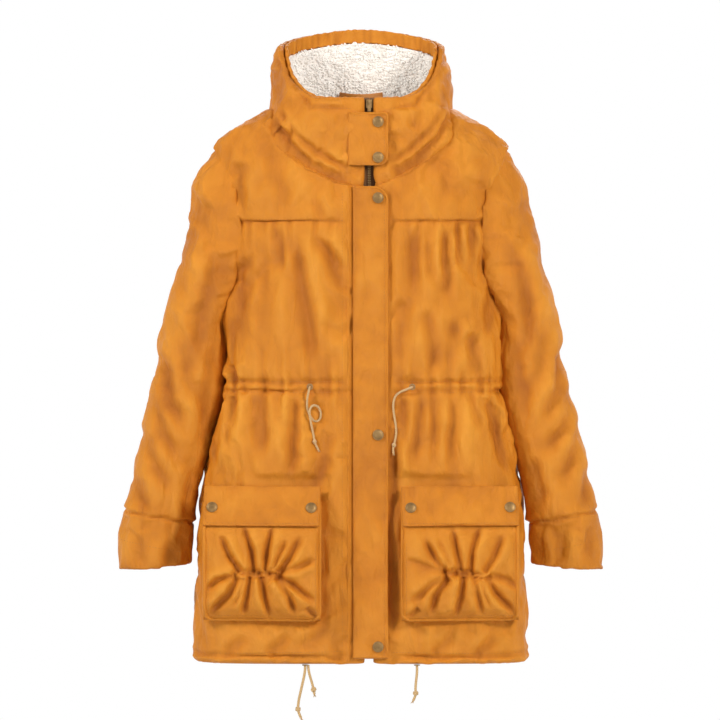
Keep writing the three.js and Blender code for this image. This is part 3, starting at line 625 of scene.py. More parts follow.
yoke_folds = [
    ([(-0.144, -0.020), (-0.125, -0.080), (-0.101, -0.165)], 0.0022, 0.014),
    ([(-0.074, -0.128), (-0.051, -0.164)], 0.0026, 0.008),
    ([(-0.175, -0.070), (-0.182, -0.150)], 0.0025, 0.012),
    ([(0.100, -0.040), (0.138, -0.140)], 0.0022, 0.016),
    ([(0.172, -0.060), (0.183, -0.155)], 0.0024, 0.012)]
front_folds = [
    ([(-0.100, -0.172), (-0.082, -0.279), (-0.063, -0.400)], 0.0062, 0.011),
    ([(-0.119, -0.171), (-0.115, -0.250)], 0.0040, 0.007),
    ([(-0.069, -0.180), (-0.043, -0.223), (-0.022, -0.275)], 0.0045, 0.009),
    ([(-0.054, -0.190), (-0.018, -0.245)], 0.0030, 0.007),
    ([(-0.171, -0.200), (-0.178, -0.367)], 0.0036, 0.013),
    ([(-0.137, -0.200), (-0.139, -0.372)], 0.0030, 0.013),
    ([(-0.050, -0.300), (-0.040, -0.392)], 0.0024, 0.010),
    ([(-0.225, -0.380), (-0.190, -0.410)], 0.0045, 0.007),
    ([(-0.188, -0.372), (-0.178, -0.402)], 0.0040, 0.006),
    ([(-0.094, -0.412), (-0.098, -0.553)], 0.0056, 0.009),
    ([(-0.147, -0.410), (-0.140, -0.520)], 0.0050, 0.012),
    ([(-0.203, -0.415), (-0.222, -0.529)], 0.0050, 0.010),
    ([(-0.180, -0.412), (-0.196, -0.505)], 0.0050, 0.008),
    ([(-0.121, -0.412), (-0.118, -0.470)], 0.0040, 0.007),
    ([(-0.045, -0.500), (-0.074, -0.565)], 0.0036, 0.009),
    ([(-0.040, -0.470), (-0.060, -0.520)], 0.0026, 0.008),
    ([(-0.200, -0.796), (-0.160, -0.765)], 0.0026, 0.009),
    ([(-0.140, -0.796), (-0.100, -0.764)], 0.0026, 0.010),
    ([(-0.085, -0.790), (-0.045, -0.740)], 0.0022, 0.010),
    ([(0.079, -0.166), (0.076, -0.285)], 0.0045, 0.009),
    ([(0.098, -0.166), (0.101, -0.268)], 0.0042, 0.007),
    ([(0.118, -0.166), (0.127, -0.285)], 0.0045, 0.008),
    ([(0.139, -0.166), (0.147, -0.245)], 0.0040, 0.007),
    ([(0.160, -0.166), (0.165, -0.232)], 0.0036, 0.007),
    ([(0.181, -0.195), (0.194, -0.259), (0.178, -0.350)], 0.0056, 0.011),
    ([(0.092, -0.285), (0.113, -0.392)], 0.0045, 0.011),
    ([(0.133, -0.300), (0.127, -0.395)], 0.0045, 0.010),
    ([(0.156, -0.320), (0.161, -0.395)], 0.0040, 0.009),
    ([(0.066, -0.270), (0.054, -0.370)], 0.0036, 0.012),
    ([(0.172, -0.410), (0.222, -0.540)], 0.0058, 0.010),
    ([(0.134, -0.410), (0.126, -0.535)], 0.0062, 0.010),
    ([(0.109, -0.410), (0.101, -0.530)], 0.0062, 0.010),
    ([(0.090, -0.412), (0.075, -0.528)], 0.0056, 0.009),
    ([(0.153, -0.410), (0.170, -0.475)], 0.0045, 0.008),
    ([(0.196, -0.404), (0.214, -0.450)], 0.0040, 0.007),
    ([(0.064, -0.415), (0.060, -0.500)], 0.0040, 0.008),
    ([(0.049, -0.440), (0.047, -0.620), (0.048, -0.806)], 0.0065, 0.007),
    ([(0.100, -0.796), (0.140, -0.764)], 0.0026, 0.010),
    ([(0.165, -0.796), (0.200, -0.768)], 0.0026, 0.009)]
back_folds = [
    ([(-0.130, -0.172), (-0.100, -0.300), (-0.085, -0.398)], 0.0055, 0.012),
    ([(-0.060, -0.172), (-0.050, -0.300)], 0.0045, 0.010),
    ([(0.010, -0.172), (0.000, -0.330)], 0.0045, 0.011),
    ([(0.080, -0.172), (0.060, -0.290)], 0.0045, 0.010),
    ([(0.140, -0.180), (0.110, -0.300), (0.100, -0.398)], 0.0055, 0.012),
    ([(-0.170, -0.240), (-0.165, -0.380)], 0.0045, 0.012),
    ([(0.172, -0.250), (0.160, -0.385)], 0.0045, 0.012),
    ([(-0.150, -0.412), (-0.190, -0.560)], 0.0055, 0.012),
    ([(-0.090, -0.412), (-0.110, -0.580)], 0.0055, 0.013),
    ([(-0.030, -0.412), (-0.035, -0.540)], 0.0050, 0.011),
    ([(0.035, -0.412), (0.045, -0.600)], 0.0055, 0.012),
    ([(0.095, -0.412), (0.120, -0.560)], 0.0055, 0.012),
    ([(0.150, -0.412), (0.185, -0.570)], 0.0055, 0.012)]


drape = 1.75


def clear_of_front_edge(x, front):
    """Nothing under the storm flap, where the cloth lies flat, and one elsewhere"""
    return np.where(front, smooth_step((np.abs(x - 0.014) - 0.030) / 0.03), 1.0)


def body_folds(points):
    x, y, z = points.T
    front = y < 0
    total = np.zeros(len(points))
    for line, depth, width in yoke_folds + front_folds:
        total += np.where(front, crease(x, z, line, depth * drape, width), 0)
    for line, depth, width in back_folds:
        total += np.where(front, 0, crease(x, z, line, depth * drape, width))
    around = x + np.where(front, 0, 0.37)
    total -= 0.0045 * np.exp(-((z - yoke_z) / 0.0035) ** 2) * clear_of_front_edge(x, front)
    under_yoke = np.where(z < yoke_z, np.exp((z - yoke_z) / 0.045), 0)
    clear_of_zip = clear_of_front_edge(x, front)
    total += 0.0042 * under_yoke * ripple(around, 0.019, 1.7) * clear_of_zip
    near_waist = np.exp(-np.abs(z - waist_z) / 0.040)
    total += 0.0056 * near_waist * ripple(around + 0.05 * (z - waist_z), 0.022, 0.6) * clear_of_zip
    at_side = smooth_step((np.abs(x) - 0.15) / 0.05)
    total += 0.0030 * near_waist * at_side * ripple(x + y * 1.3, 0.011, 2.1)
    cinch = np.exp(-((z - waist_z + 0.008) / 0.004) ** 2) + np.exp(-((z - waist_z - 0.008) / 0.004) ** 2)
    total -= 0.0045 * cinch * clear_of_zip
    sewn = hem_z + 0.0165 - 0.010 * np.where(front, 0.5 - np.abs(np.abs(x) - 0.03) / 0.4, 0)
    total -= 0.0042 * np.exp(-((z - sewn) / 0.0030) ** 2) * clear_of_zip
    total += 0.0022 * np.exp(-((z - sewn + 0.008) / 0.0045) ** 2) * clear_of_zip
    total += 0.0026 * crumple(points * (1, 1, 0.38), 0.040, 3.0)
    total += 0.0024 * crumple(points * (1, 1, 0.6), 0.015, 8.0)
    return total


def finish_cloth(piece, nodes, body="coat", levels=1, material=shell_cloth):
    """The last smoothing of a padded piece, its material and what it stands for"""
    finer = piece.modifiers.new("finer", "SUBSURF")
    finer.levels = levels
    finer.render_levels = finer.levels
    settle(piece)
    for face in piece.data.polygons:
        face.use_smooth = True
    piece.data.materials.clear()
    piece.data.materials.append(material)
    if body:
        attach(piece, body)
    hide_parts(*nodes)
    return piece


body_pieces = {}
for name, nodes, voxel in (
        ("right_front", ["right_front_yoke", "right_front_panel"], fine),
        ("left_front", ["left_front_yoke", "left_front_panel"], fine),
        ("back", ["back_yoke", "back_panel"], fine * 1.2)):
    piece = cut_cloth(name, nodes, voxel)
    fold_cloth(piece, around_body, body_folds, puff=0.0050)
    fill_out(piece, around_body)
    if "front" in name:
        lie_under(piece, front_covers())
    body_pieces[name] = finish_cloth(piece, nodes)


def finder(piece):
    return BVHTree.FromObject(piece, bpy.context.evaluated_depsgraph_get())


def sew_to(piece, neighbours, reach=0.010, overlap=0.0015):
    """Closes a seam: the edge of a piece moves up to its neighbours and a little way into them"""
    surfaces = [finder(neighbour) for neighbour in neighbours]
    points = points_of(piece)
    for number, point in enumerate(points):
        start = Vector(point)
        hits = [surface.find_nearest(start, reach) for surface in surfaces]
        hits = [(hit[3], hit[0]) for hit in hits if hit[0] is not None and hit[3] > 1e-6]
        if hits:
            away, spot = min(hits, key=lambda hit: hit[0])
            share = smooth_step((1 - away / reach) * 1.7)
            points[number] += np.array((spot - start) / away) * share * (away + overlap)
    place_points(piece, points)


for name in ("right_front", "left_front"):
    sew_to(body_pieces[name], [body_pieces["back"]], reach=0.018)

# ---------- Linings and facings ----------
# A brushed satin lining inside the body and the sleeves, a woven facing round the hem, the flat tape
# of the waist's cord tunnel, and the tapes that carry the zip. All are sewn in along their edges.


def fine_copy(name, node, cuts, rounds=3):
    """A copy of a thin sewn piece with faces small enough to bend"""
    form = bmesh.new()
    form.from_mesh(frame["nodes"][node].data)
    bmesh.ops.remove_doubles(form, verts=form.verts, dist=1e-5)
    bmesh.ops.join_triangles(form, faces=form.faces, angle_face_threshold=0.3,
                             angle_shape_threshold=1.2)
    bmesh.ops.subdivide_edges(form, edges=form.edges, cuts=cuts, use_grid_fill=True)
    for _ in range(rounds):
        bmesh.ops.smooth_vert(form, verts=form.verts, factor=0.4, use_axis_x=True, use_axis_y=True,
                              use_axis_z=True)
    piece = bpy.data.objects.new(name, mesh_from(form, name))
    scene.collection.objects.link(piece)
    return piece


def dent(piece, size, depth, seed):
    """Soft dents and rises all over a thin piece, the same through its thickness"""
    points = points_of(piece)
    moved = crumple(points, size, seed)[:, None] * around_body(points) * depth
    place_points(piece, points + moved)


def cloth_material(name, dark, light, roughness, sheen, thread):
    material, wires, shader = new_material(name)
    coords = wires.node("TexCoord", out=3)
    mottle = noise_at(wires, coords, 38.0, 4.0)
    warp_threads = wires.node("TexWave", {"bands_direction": "X"}, {"Vector": coords, "Scale": thread})
    weft_threads = wires.node("TexWave", {"bands_direction": "Z"}, {"Vector": coords, "Scale": thread})
    bump = wires.node("Bump", None, {"Strength": 0.5, "Distance": 0.0012,
                                     "Height": mottle + (warp_threads + weft_threads) * 0.12})
    feed(shader, Base_Color=blend_colours(wires, mottle, dark, light),
         Roughness=roughness + (mottle - 0.5) * 0.2, Normal=bump, Sheen_Weight=sheen)
    return material


lining_satin = cloth_material("lining_satin", (0.40, 0.13, 0.014, 1), (0.60, 0.23, 0.03, 1), 0.42, 0.1, 300.0)
tape_weave = cloth_material("tape_weave", (0.10, 0.040, 0.010, 1), (0.20, 0.085, 0.02, 1), 0.75, 0.2, 500.0)

for node, cuts, depth in (("right_front_lining", 4, 0.0016), ("left_front_lining", 4, 0.0016),
                          ("back_lining", 4, 0.0016), ("hem_facing", 2, 0.0004),
                          ("waist_channel", 2, 0.0003)):
    piece = fine_copy(node + "_sewn", node, cuts)
    dent(piece, 0.045, depth, 5.0)
    piece.data.materials.clear()
    piece.data.materials.append(lining_satin)
    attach(piece, "coat")
    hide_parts(node)
    "lining" in node
for side in ("right", "left"):
    node = side + "_zip_tape"
    tape = fine_copy(node + "_woven", node, 3, 0)
    tape.data.materials.clear()
    tape.data.materials.append(tape_weave)
    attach(tape, "coat")
    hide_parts(node)

# ---------- Fleece of the collar ----------
# Curly off-white pile on a knitted back, which lines the collar from the neck to its gathered rim.


def fleece_material():
    material, wires, shader = new_material("curly_fleece")
    coords = wires.node("TexCoord", out=3)
    curl = noise_at(wires, coords, 190.0, 4.0, 0.65, 1.4)
    clump = noise_at(wires, coords, 60.0, 3.0)
    # Painted shade in the pile: the colour follows the bump's height, darker in the hollows between the curls
    # and lighter on their tops.
    depth = curl * 0.6 + clump * 0.4
    shade = wires.node("ValToRGB", {"stops": [
        (0.25, (0.80, 0.73, 0.66, 1)), (0.5, (0.92, 0.88, 0.83, 1)), (0.75, (0.98, 0.96, 0.93, 1))]},
        {0: depth})
    bump = wires.node("Bump", None, {"Strength": 0.5, "Distance": 0.002, "Height": depth})
    feed(shader, Base_Color=shade, Roughness=0.95, Normal=bump, Sheen_Weight=0.6, Sheen_Roughness=0.6)
    return material


curly_fleece = fleece_material()
fleece = fine_copy("collar_fleece_pile", "collar_fleece", 6, 2)
fleece_points = points_of(fleece)
pile = 0.0022 * crumple(fleece_points, 0.011, 2.0) + 0.0012 * crumple(fleece_points, 0.005, 6.0)
place_points(fleece, fleece_points - around_body(fleece_points) * pile[:, None])
fleece.data.materials.clear()
fleece.data.materials.append(curly_fleece)
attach(fleece, "coat")
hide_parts("collar_fleece")



def stamped(name, form, places, smooth=True):
    """One small shape repeated at many places, as a single mesh"""
    form.verts.index_update()
    corners = np.array([vert.co for vert in form.verts])
    faces = [[vert.index for vert in face.verts] for face in form.faces]
    form.free()
    placed = [corners @ np.array(place.to_3x3()).T + np.array(place.translation) for place in places]
    mesh = bpy.data.meshes.new(name)
    mesh.from_pydata(np.concatenate(placed), [], [[corner + number * len(corners) for corner in face]
                                                  for number in range(len(places)) for face in faces])
    for face in mesh.polygons:
        face.use_smooth = smooth
    return mesh


draw = np.random.default_rng(7)
tufts = []
inner_side = [face for face in fleece.data.polygons
              if face.normal.dot(Vector(around_body(np.array([face.center]))[0])) < -0.3]
shares = np.array([face.area for face in inner_side])
for spot in draw.choice(len(inner_side), 5200, p=shares / shares.sum()):
    face = inner_side[spot]
    corner = [fleece.data.vertices[i].co for i in face.vertices]
    weights = draw.dirichlet(np.ones(len(corner)))
    root = sum((point * weight for point, weight in zip(corner, weights)), Vector())
    lean = Vector(draw.normal(0, 0.55, 3)) + face.normal + Vector((0, 0, 0.25))
    turn = lean.to_track_quat("Z", "Y").to_matrix().to_4x4()
    tall = draw.uniform(0.0020, 0.0044)
    wide = draw.uniform(0.0015, 0.0028)
    tufts.append(Matrix.Translation(root) @ turn
                 @ Matrix.Diagonal((wide, wide * draw.uniform(0.6, 1.0), tall, 1)))
curl = bmesh.new()
bmesh.ops.create_icosphere(curl, subdivisions=1, radius=1.0)
curl_piece = add_piece("collar_fleece_curls", stamped("collar_fleece_curls", curl, tufts), curly_fleece)

# ---------- Collar ----------
# A tall padded funnel, sewn to the neckline, where its weight makes it roll. A stitched tunnel runs
# under its top edge, and its own cloth is turned in over the rim and gathered.

collar_folds = [
    ([(-0.134, -0.004), (-0.105, -0.045), (-0.070, -0.078), (-0.016, -0.100)], 0.0050, 0.0055),
    ([(-0.122, 0.002), (-0.092, -0.036), (-0.055, -0.066), (-0.016, -0.084)], 0.0034, 0.005),
    ([(0.134, 0.004), (0.108, -0.040), (0.075, -0.074), (0.042, -0.092)], 0.0055, 0.0055),
    ([(0.124, 0.012), (0.100, -0.026), (0.068, -0.060), (0.042, -0.076)], 0.0036, 0.005),
    ([(-0.120, -0.022), (-0.105, -0.036), (-0.096, -0.034)], 0.0050, 0.006),
    ([(-0.060, -0.052), (-0.034, -0.078), (-0.015, -0.086)], 0.0030, 0.006),
    ([(-0.128, 0.060), (-0.118, 0.010)], 0.0026, 0.010),
    ([(0.128, 0.055), (0.118, 0.000)], 0.0036, 0.009),
    ([(0.090, 0.020), (0.074, -0.030)], 0.0024, 0.008),
    ([(0.105, 0.045), (0.098, 0.010)], 0.0022, 0.006)]
collar_tunnel = [
    ([(-0.131, 0.083), (-0.104, 0.044), (-0.072, 0.004), (-0.014, 0.002)], 0.0030, 0.0035),
    ([(0.131, 0.083), (0.108, 0.048), (0.078, 0.006), (0.042, 0.002)], 0.0030, 0.0035)]


def collar_shape(points):
    x, y, z = points.T
    front = y < 0.01
    total = np.zeros(len(points))
    for line, depth, width in collar_folds + collar_tunnel:
        total += np.where(front, crease(x, z, line, depth * 1.4, width, ends=(0.12, 0.12)), 0)
    back_roll = np.exp(-((z - 0.020) / 0.007) ** 2) * 0.0040 + np.exp(-((z - 0.036) / 0.006) ** 2) * 0.0022
    back_tunnel = np.exp(-((z - 0.104) / 0.0035) ** 2) * 0.0030
    total -= np.where(front, 0, back_roll + back_tunnel)
    total += 0.0034 * crumple(points * (0.6, 0.6, 1), 0.028, 11.0) + 0.0018 * crumple(points, 0.013, 4.0)
    return total


def around_neck(points):
    out = np.stack([points[:, 0] / 0.122 ** 2, points[:, 1] / 0.078 ** 2, np.zeros(len(points))], 1)
    return out / np.linalg.norm(out, axis=1, keepdims=True)


collar = cut_cloth("collar", ["collar_shell"], fine * 0.8)
fold_cloth(collar, around_neck, collar_shape, puff=0.0050, highest=0.010)
fill_out(collar, around_neck, pressure=2.0, cap=0.0050)
collar_points = points_of(collar)
neckline = [(-0.140, 0.006), (-0.137, -0.012), (-0.108, -0.054), (-0.070, -0.088), (-0.016, -0.108),
            (0.042, -0.102), (0.078, -0.084), (0.112, -0.048), (0.137, -0.008), (0.140, 0.006)]
rolled = -crease(collar_points[:, 0], collar_points[:, 2], neckline, 1.0, 0.014, ends=(0.01, 0.01))
rolled = np.clip(rolled, 0, 1) * np.where(collar_points[:, 1] < 0.02, 1, 0)
place_points(collar, collar_points + rolled[:, None] * np.array([0, -0.0010, -0.0055])
             + rolled[:, None] * around_neck(collar_points) * 0.0025)
finish_cloth(collar, ["collar_shell"])
sew_to(collar, body_pieces.values(), reach=0.013)

rim = fine_copy("collar_rim_gathered", "collar_rim", 5, 2)
rim_points = points_of(rim)
rim_turn = np.arctan2(rim_points[:, 0], -rim_points[:, 1])
gather = ripple(rim_turn, 0.085, 1.2)
rim_move = around_neck(rim_points) * (gather * 0.0016 + 0.0022)[:, None]
rim_move[:, 2] += 0.0012 * ripple(rim_turn, 0.14, 3.3)
place_points(rim, rim_points + rim_move)
# Painted shade and light in step with the gathers: the rim's fold attribute is darker where the gathers stand
# out from the neck and lighter where they fall back.
rim_gather_shade = rim.data.attributes.new("fold", "FLOAT", "POINT")
rim_gather_shade.data.foreach_set("value", (-0.8 * gather).astype(np.float32))
rim.data.materials.clear()
rim.data.materials.append(shell_cloth)
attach(rim, "coat")
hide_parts("collar_rim")

# ---------- Hang loop ----------
# A narrow band of lining cloth, folded and edge-stitched, sewn inside the back of the neck.

loop = fine_copy("hang_loop_band", "hang_loop", 3, 1)
loop.data.materials.clear()
loop.data.materials.append(lining_satin)
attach(loop, "coat")
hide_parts("hang_loop")

# ---------- Sleeves and cuffs ----------
# Padded two-piece sleeves set into the armholes, each with a plain padded cuff band. They hang limp,
# so the cloth breaks into slanting folds over the elbow.

sleeve_top = Vector(next(joint["pos_m"] for joint in frame["joints"] if joint["name"] == "left_sleeve_swing"))
underarm_z = -0.258
armhole_top_x, armhole_bottom_x = 0.222, 0.203
cuff_seam = [(0.240, -0.607), (0.352, -0.587)]
sleeve_folds = [
    ([(0.214, -0.190), (0.240, -0.290), (0.244, -0.380)], 0.0055, 0.012),
    ([(0.232, -0.110), (0.262, -0.200), (0.270, -0.290)], 0.0034, 0.014),
    ([(0.268, -0.300), (0.258, -0.380), (0.232, -0.440)], 0.0050, 0.012),
    ([(0.292, -0.340), (0.286, -0.410), (0.254, -0.470)], 0.0055, 0.011),
    ([(0.306, -0.400), (0.296, -0.460), (0.262, -0.510)], 0.0050, 0.010),
    ([(0.318, -0.450), (0.306, -0.510), (0.278, -0.560)], 0.0045, 0.010),
    ([(0.224, -0.330), (0.236, -0.420), (0.240, -0.480)], 0.0040, 0.010),
    ([(0.250, -0.500), (0.262, -0.560), (0.258, -0.600)], 0.0040, 0.009),
    ([(0.330, -0.520), (0.322, -0.590)], 0.0034, 0.009),
    ([(0.286, -0.620), (0.292, -0.655)], 0.0024, 0.008),
    ([(0.328, -0.610), (0.334, -0.650)], 0.0024, 0.008)]


def sleeve_shape(side):
    def shape(points):
        x, y, z = points.T
        x = np.abs(x)
        lean = x + 0.10 * y * side
        total = np.zeros(len(points))
        for line, depth, width in sleeve_folds:
            total += crease(lean, z + 0.012 * (side < 0), line, depth * 1.5, width)
        total -= 0.0036 * seam_line(x, z, cuff_seam, 0.0028)
        total += 0.0034 * crumple(points * (1, 1, 0.5), 0.046, 21.0 + side)
        total += 0.0018 * crumple(points, 0.018, 31.0 + side)
        return total
    return shape


def seam_line(x, z, line, width):
    (x0, z0), (x1, z1) = line
    along = Vector((x1 - x0, z1 - z0)).normalized()
    away = (x - x0) * along.y - (z - z0) * along.x
    return np.exp(-(away / width) ** 2)


def around_arm(points):
    """Which way is out, round the line down the middle of either sleeve"""
    side = np.sign(points[:, 0])
    start = np.array([0.206, -0.150])
    end = np.array([0.305, -0.640])
    way = (end - start) / np.linalg.norm(end - start)
    flat = np.stack([np.abs(points[:, 0]), points[:, 2]], 1) - start
    beside = flat - (flat @ way)[:, None] * way
    out = np.stack([beside[:, 0] * side, points[:, 1] * 1.1, beside[:, 1]], 1)
    return out / np.maximum(np.linalg.norm(out, axis=1, keepdims=True), 1e-6)


def set_in(points):
    """Pushes a sleeve's sewn end a little way under the edge of the armhole"""
    x, y, z = points.T
    down = np.clip((z - sleeve_top.z) / (underarm_z - sleeve_top.z), 0, 1)
    round_front = np.sin(np.pi * down) ** 2
    edge = armhole_top_x + (armhole_bottom_x - armhole_top_x) * down - 0.022 * round_front
    near = smooth_step((edge + 0.024 - np.abs(x)) / 0.024) * smooth_step((z - underarm_z + 0.06) / 0.06)
    head = smooth_step(1 - np.abs(z - sleeve_top.z + 0.030) / 0.075)
    moved = points.copy()
    moved[:, 0] += np.sign(x) * (0.006 * head * (1 - near) - 0.015 * near)
    moved[:, 2] += 0.013 * head * near
    top = smooth_step((z + 0.100) / 0.05) * smooth_step((0.240 - np.abs(x)) / 0.03)
    moved[:, 0] += np.sign(x) * 0.004 * top
    return moved


def longer_cuff(points):
    """Lets the cuff hang to its full length and lie close under the sleeve"""
    hung = smooth_step((-0.625 - points[:, 2]) / 0.035)
    flat_seam = seam_line(np.abs(points[:, 0]), points[:, 2], cuff_seam, 0.007)
    moved = points + around_arm(points) * (flat_seam * 0.0034)[:, None]
    moved[:, 2] -= 0.017 * hung
    return moved


sleeves = {}
for side, sign in (("right", -1), ("left", 1)):
    nodes = [side + "_sleeve", side + "_cuff"]
    arm = cut_cloth(side + "_sleeve_padded", nodes, fine * 1.1)
    fold_cloth(arm, around_arm, sleeve_shape(sign), puff=0.0040, highest=0.012, seam_width=0.018)
    fill_out(arm, around_arm)
    place_points(arm, longer_cuff(set_in(points_of(arm))))
    sleeves[side] = finish_cloth(arm, nodes, body=None)
    side + "_sleeve"
    sign * 0.222
    sign * 0.277
    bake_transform(arm)
    inside = fine_copy(side + "_sleeve_lining_sewn", side + "_sleeve_lining", 1, 1)
    dent(inside, 0.030, 0.0005, 9.0)
    place_points(inside, longer_cuff(points_of(inside)))
    inside.data.materials.clear()
    inside.data.materials.append(lining_satin)
    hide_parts(side + "_sleeve_lining")
    side + "_sleeve"
    sign * 0.222
    sign * 0.277
    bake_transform(inside)

# ---------- Pockets ----------
# Patch pockets of padded cloth, blown out like small cushions. A short elastic, sewn across the
# middle of each from inside, ruches it, and a bound edge runs down both sides and along the bottom.

ruche = [
    ([(0.14, 0.26), (0.23, 0.46), (0.325, 0.600)], 0.0085, 0.0062),
    ([(0.33, 0.16), (0.420, 0.42), (0.440, 0.600)], 0.0095, 0.0056),
    ([(0.60, 0.16), (0.545, 0.42), (0.520, 0.590)], 0.0095, 0.0056),
    ([(0.84, 0.28), (0.730, 0.48), (0.630, 0.600)], 0.0085, 0.0062),
    ([(0.01, 0.76), (0.12, 0.66), (0.290, 0.610)], 0.0080, 0.0062),
    ([(0.030, 0.960), (0.22, 0.77), (0.310, 0.62)], 0.0095, 0.0064),
    ([(0.330, 0.970), (0.370, 0.80), (0.400, 0.62)], 0.0095, 0.0056),
    ([(0.570, 0.980), (0.520, 0.80), (0.495, 0.62)], 0.0095, 0.0056),
    ([(0.960, 0.850), (0.740, 0.68), (0.620, 0.610)], 0.0090, 0.0064),
    ([(0.780, 0.960), (0.730, 0.78), (0.610, 0.630)], 0.0085, 0.0060),
    ([(0.990, 0.470), (0.820, 0.54), (0.650, 0.595)], 0.0060, 0.0062),
    ([(0.960, 0.97), (0.870, 0.88)], 0.0060, 0.0055),
    ([(0.72, 0.30), (0.640, 0.46), (0.575, 0.585)], 0.0050, 0.0042),
    ([(0.250, 0.900), (0.310, 0.78), (0.350, 0.63)], 0.0045, 0.0042)]
mirrored_ruche = [([(1.02 - u, v) for u, v in line], depth * (0.85 + 0.2 * math.sin(3 * i)), width)
                  for i, (line, depth, width) in enumerate(ruche)]


def pocket_cloth(side, folds):
    low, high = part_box(side + "_pocket")
    shell = frame["nodes"][side + "_pocket"].data
    hull = BVHTree.FromPolygons([vert.co for vert in shell.vertices],
                                [tuple(face.vertices) for face in shell.polygons])
    width, height = high.x - low.x, high.z - low.z
    form = bmesh.new()
    steps = 130
    bmesh.ops.create_grid(form, x_segments=steps, y_segments=steps, size=0.5,
                          matrix=Matrix.Rotation(math.radians(90), 4, "X"))
    inset = 0.0012
    for vert in form.verts:
        place = Vector((low.x + inset + (vert.co.x + 0.5) * (width - 2 * inset), -0.3,
                        low.z + inset + (vert.co.z + 0.5) * (height - 2 * inset)))
        hit = hull.ray_cast(place, Vector((0, 1, 0)))[0]
        vert.co = hit if hit else Vector((place.x, low.y + 0.03, place.z))
    for _ in range(16):
        bmesh.ops.smooth_vert(form, verts=[v for v in form.verts if not v.is_boundary], factor=0.5,
                              use_axis_y=True)
    points = np.array([vert.co for vert in form.verts])
    x, y, z = points.T
    edge = np.minimum(np.minimum(x - low.x, high.x - x), z - low.z)
    scaled = [([(low.x + u * width, high.z - v * height) for u, v in line], depth, wide)
              for line, depth, wide in folds]
    shape = sum(crease(x, z, line, depth, wide * 0.86, ends=(0.30, 0.06)) for line, depth, wide in scaled)
    gather_z = high.z - 0.605 * height
    middle = np.exp(-((x - (low.x + high.x) / 2) / (0.17 * width)) ** 4)
    pinch = middle * np.exp(-((z - gather_z) / 0.006) ** 2)
    shape -= 0.0065 * pinch
    shape += 0.0030 * middle * np.exp(-np.abs(z - gather_z) / 0.020) * ripple(x, 0.013, 1.0)
    shape += 0.0022 * crumple(points, 0.028, 14.0 + low.x) + 0.0010 * crumple(points, 0.012, 3.0)
    held = smooth_step(edge / 0.012)
    swell = 0.0060 * (1 - np.exp(-edge / 0.012))
    flap_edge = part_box(side + "_pocket_flap")[0].z
    most = 0.0004 + 0.0116 * smooth_step((flap_edge + 0.002 - z) / 0.030)
    for vert, rise in zip(form.verts, np.clip(shape * held + swell, -0.012, most)):
        vert.co.y -= rise
    rim = bmesh.ops.extrude_edge_only(form, edges=[edge for edge in form.edges if edge.is_boundary])
    for vert in rim["geom"]:
        if isinstance(vert, bmesh.types.BMVert):
            vert.co.y = max(vert.co.y + 0.004, high.y + 0.001)
    bmesh.ops.recalc_face_normals(form, faces=form.faces)
    name = side + "_pocket_puffed"
    # Painted shade and light: the pocket's fold attribute is darker in the ruche's creases and along the
    # pocket's edges, lighter on the puffs between.
    painted_fold_shade = np.zeros(len(form.verts))
    painted_fold_shade[:len(points)] = np.clip(shape * held / 0.006, -1.3, 1) - 0.6 * np.exp(-edge / 0.004)
    piece = bpy.data.objects.new(name, mesh_from(form, name))
    scene.collection.objects.link(piece)
    depth = piece.data.attributes.new("fold", "FLOAT", "POINT")
    depth.data.foreach_set("value", painted_fold_shade.astype(np.float32))
    wall = piece.modifiers.new("wall", "SOLIDIFY")
    wall.thickness = 0.0024
    wall.offset = -1
    return finish_cloth(piece, [side + "_pocket"], levels=0)


pockets = {"right": pocket_cloth("right", ruche), "left": pocket_cloth("left", mirrored_ruche)}

# ---------- Flaps ----------
# Flat padded strips: the storm flap over the zip, the small collar flap above it, and the pocket
# flaps. Each is bagged out, pressed and stitched near its edge.


def flap_shape(pitch, seed, studs):
    def shape(points):
        free = np.ones(len(points))
        for stud in studs:
            free = np.minimum(free, smooth_step((np.linalg.norm(points - stud, axis=1) - 0.007) / 0.014))
        waves = 0.0034 * crumple(points, pitch, seed) + 0.0018 * crumple(points, pitch * 0.35, seed + 4)
        return free * (waves - 0.0006) - 0.0010 * (1 - free)
    return shape


pocket_flap_way = (0.0, -0.927, 0.375)


def out_of_front(points):
    return np.tile(np.array([0.0, -1.0, 0.0]), (len(points), 1))


def out_of_pocket_flap(points):
    return np.tile(np.array(pocket_flap_way), (len(points), 1))


def flap(node, outward, voxel, seed):
    piece = cut_cloth(node + "_sewn", [node], voxel * (1))
    studs = [np.array((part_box(name)[0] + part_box(name)[1]) / 2) for name, holder in frame["nodes"].items()
             if "snap_cap" in name and holder["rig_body"] == node]
    fold_cloth(piece, outward, flap_shape(0.05, seed, studs), puff=0.0012, seam_width=0.005, deepest=0.0016,
               highest=0.0030, smoothing=2)
    return finish_cloth(piece, [node], body=node, levels=0)


flaps = {
    "storm_flap": flap("storm_flap", out_of_front, 0.0017, 2.0),
    "collar_flap": flap("collar_flap", out_of_front, 0.0013, 5.0),
    "right_pocket_flap": flap("right_pocket_flap", out_of_pocket_flap, 0.0015, 8.0),
    "left_pocket_flap": flap("left_pocket_flap", out_of_pocket_flap, 0.0015, 12.0)}

# ---------- Brass ----------
# Press studs, eyelets and the zip's metal, all with a dark antique finish that is rubbed bright
# where fingers and cloth touch it.


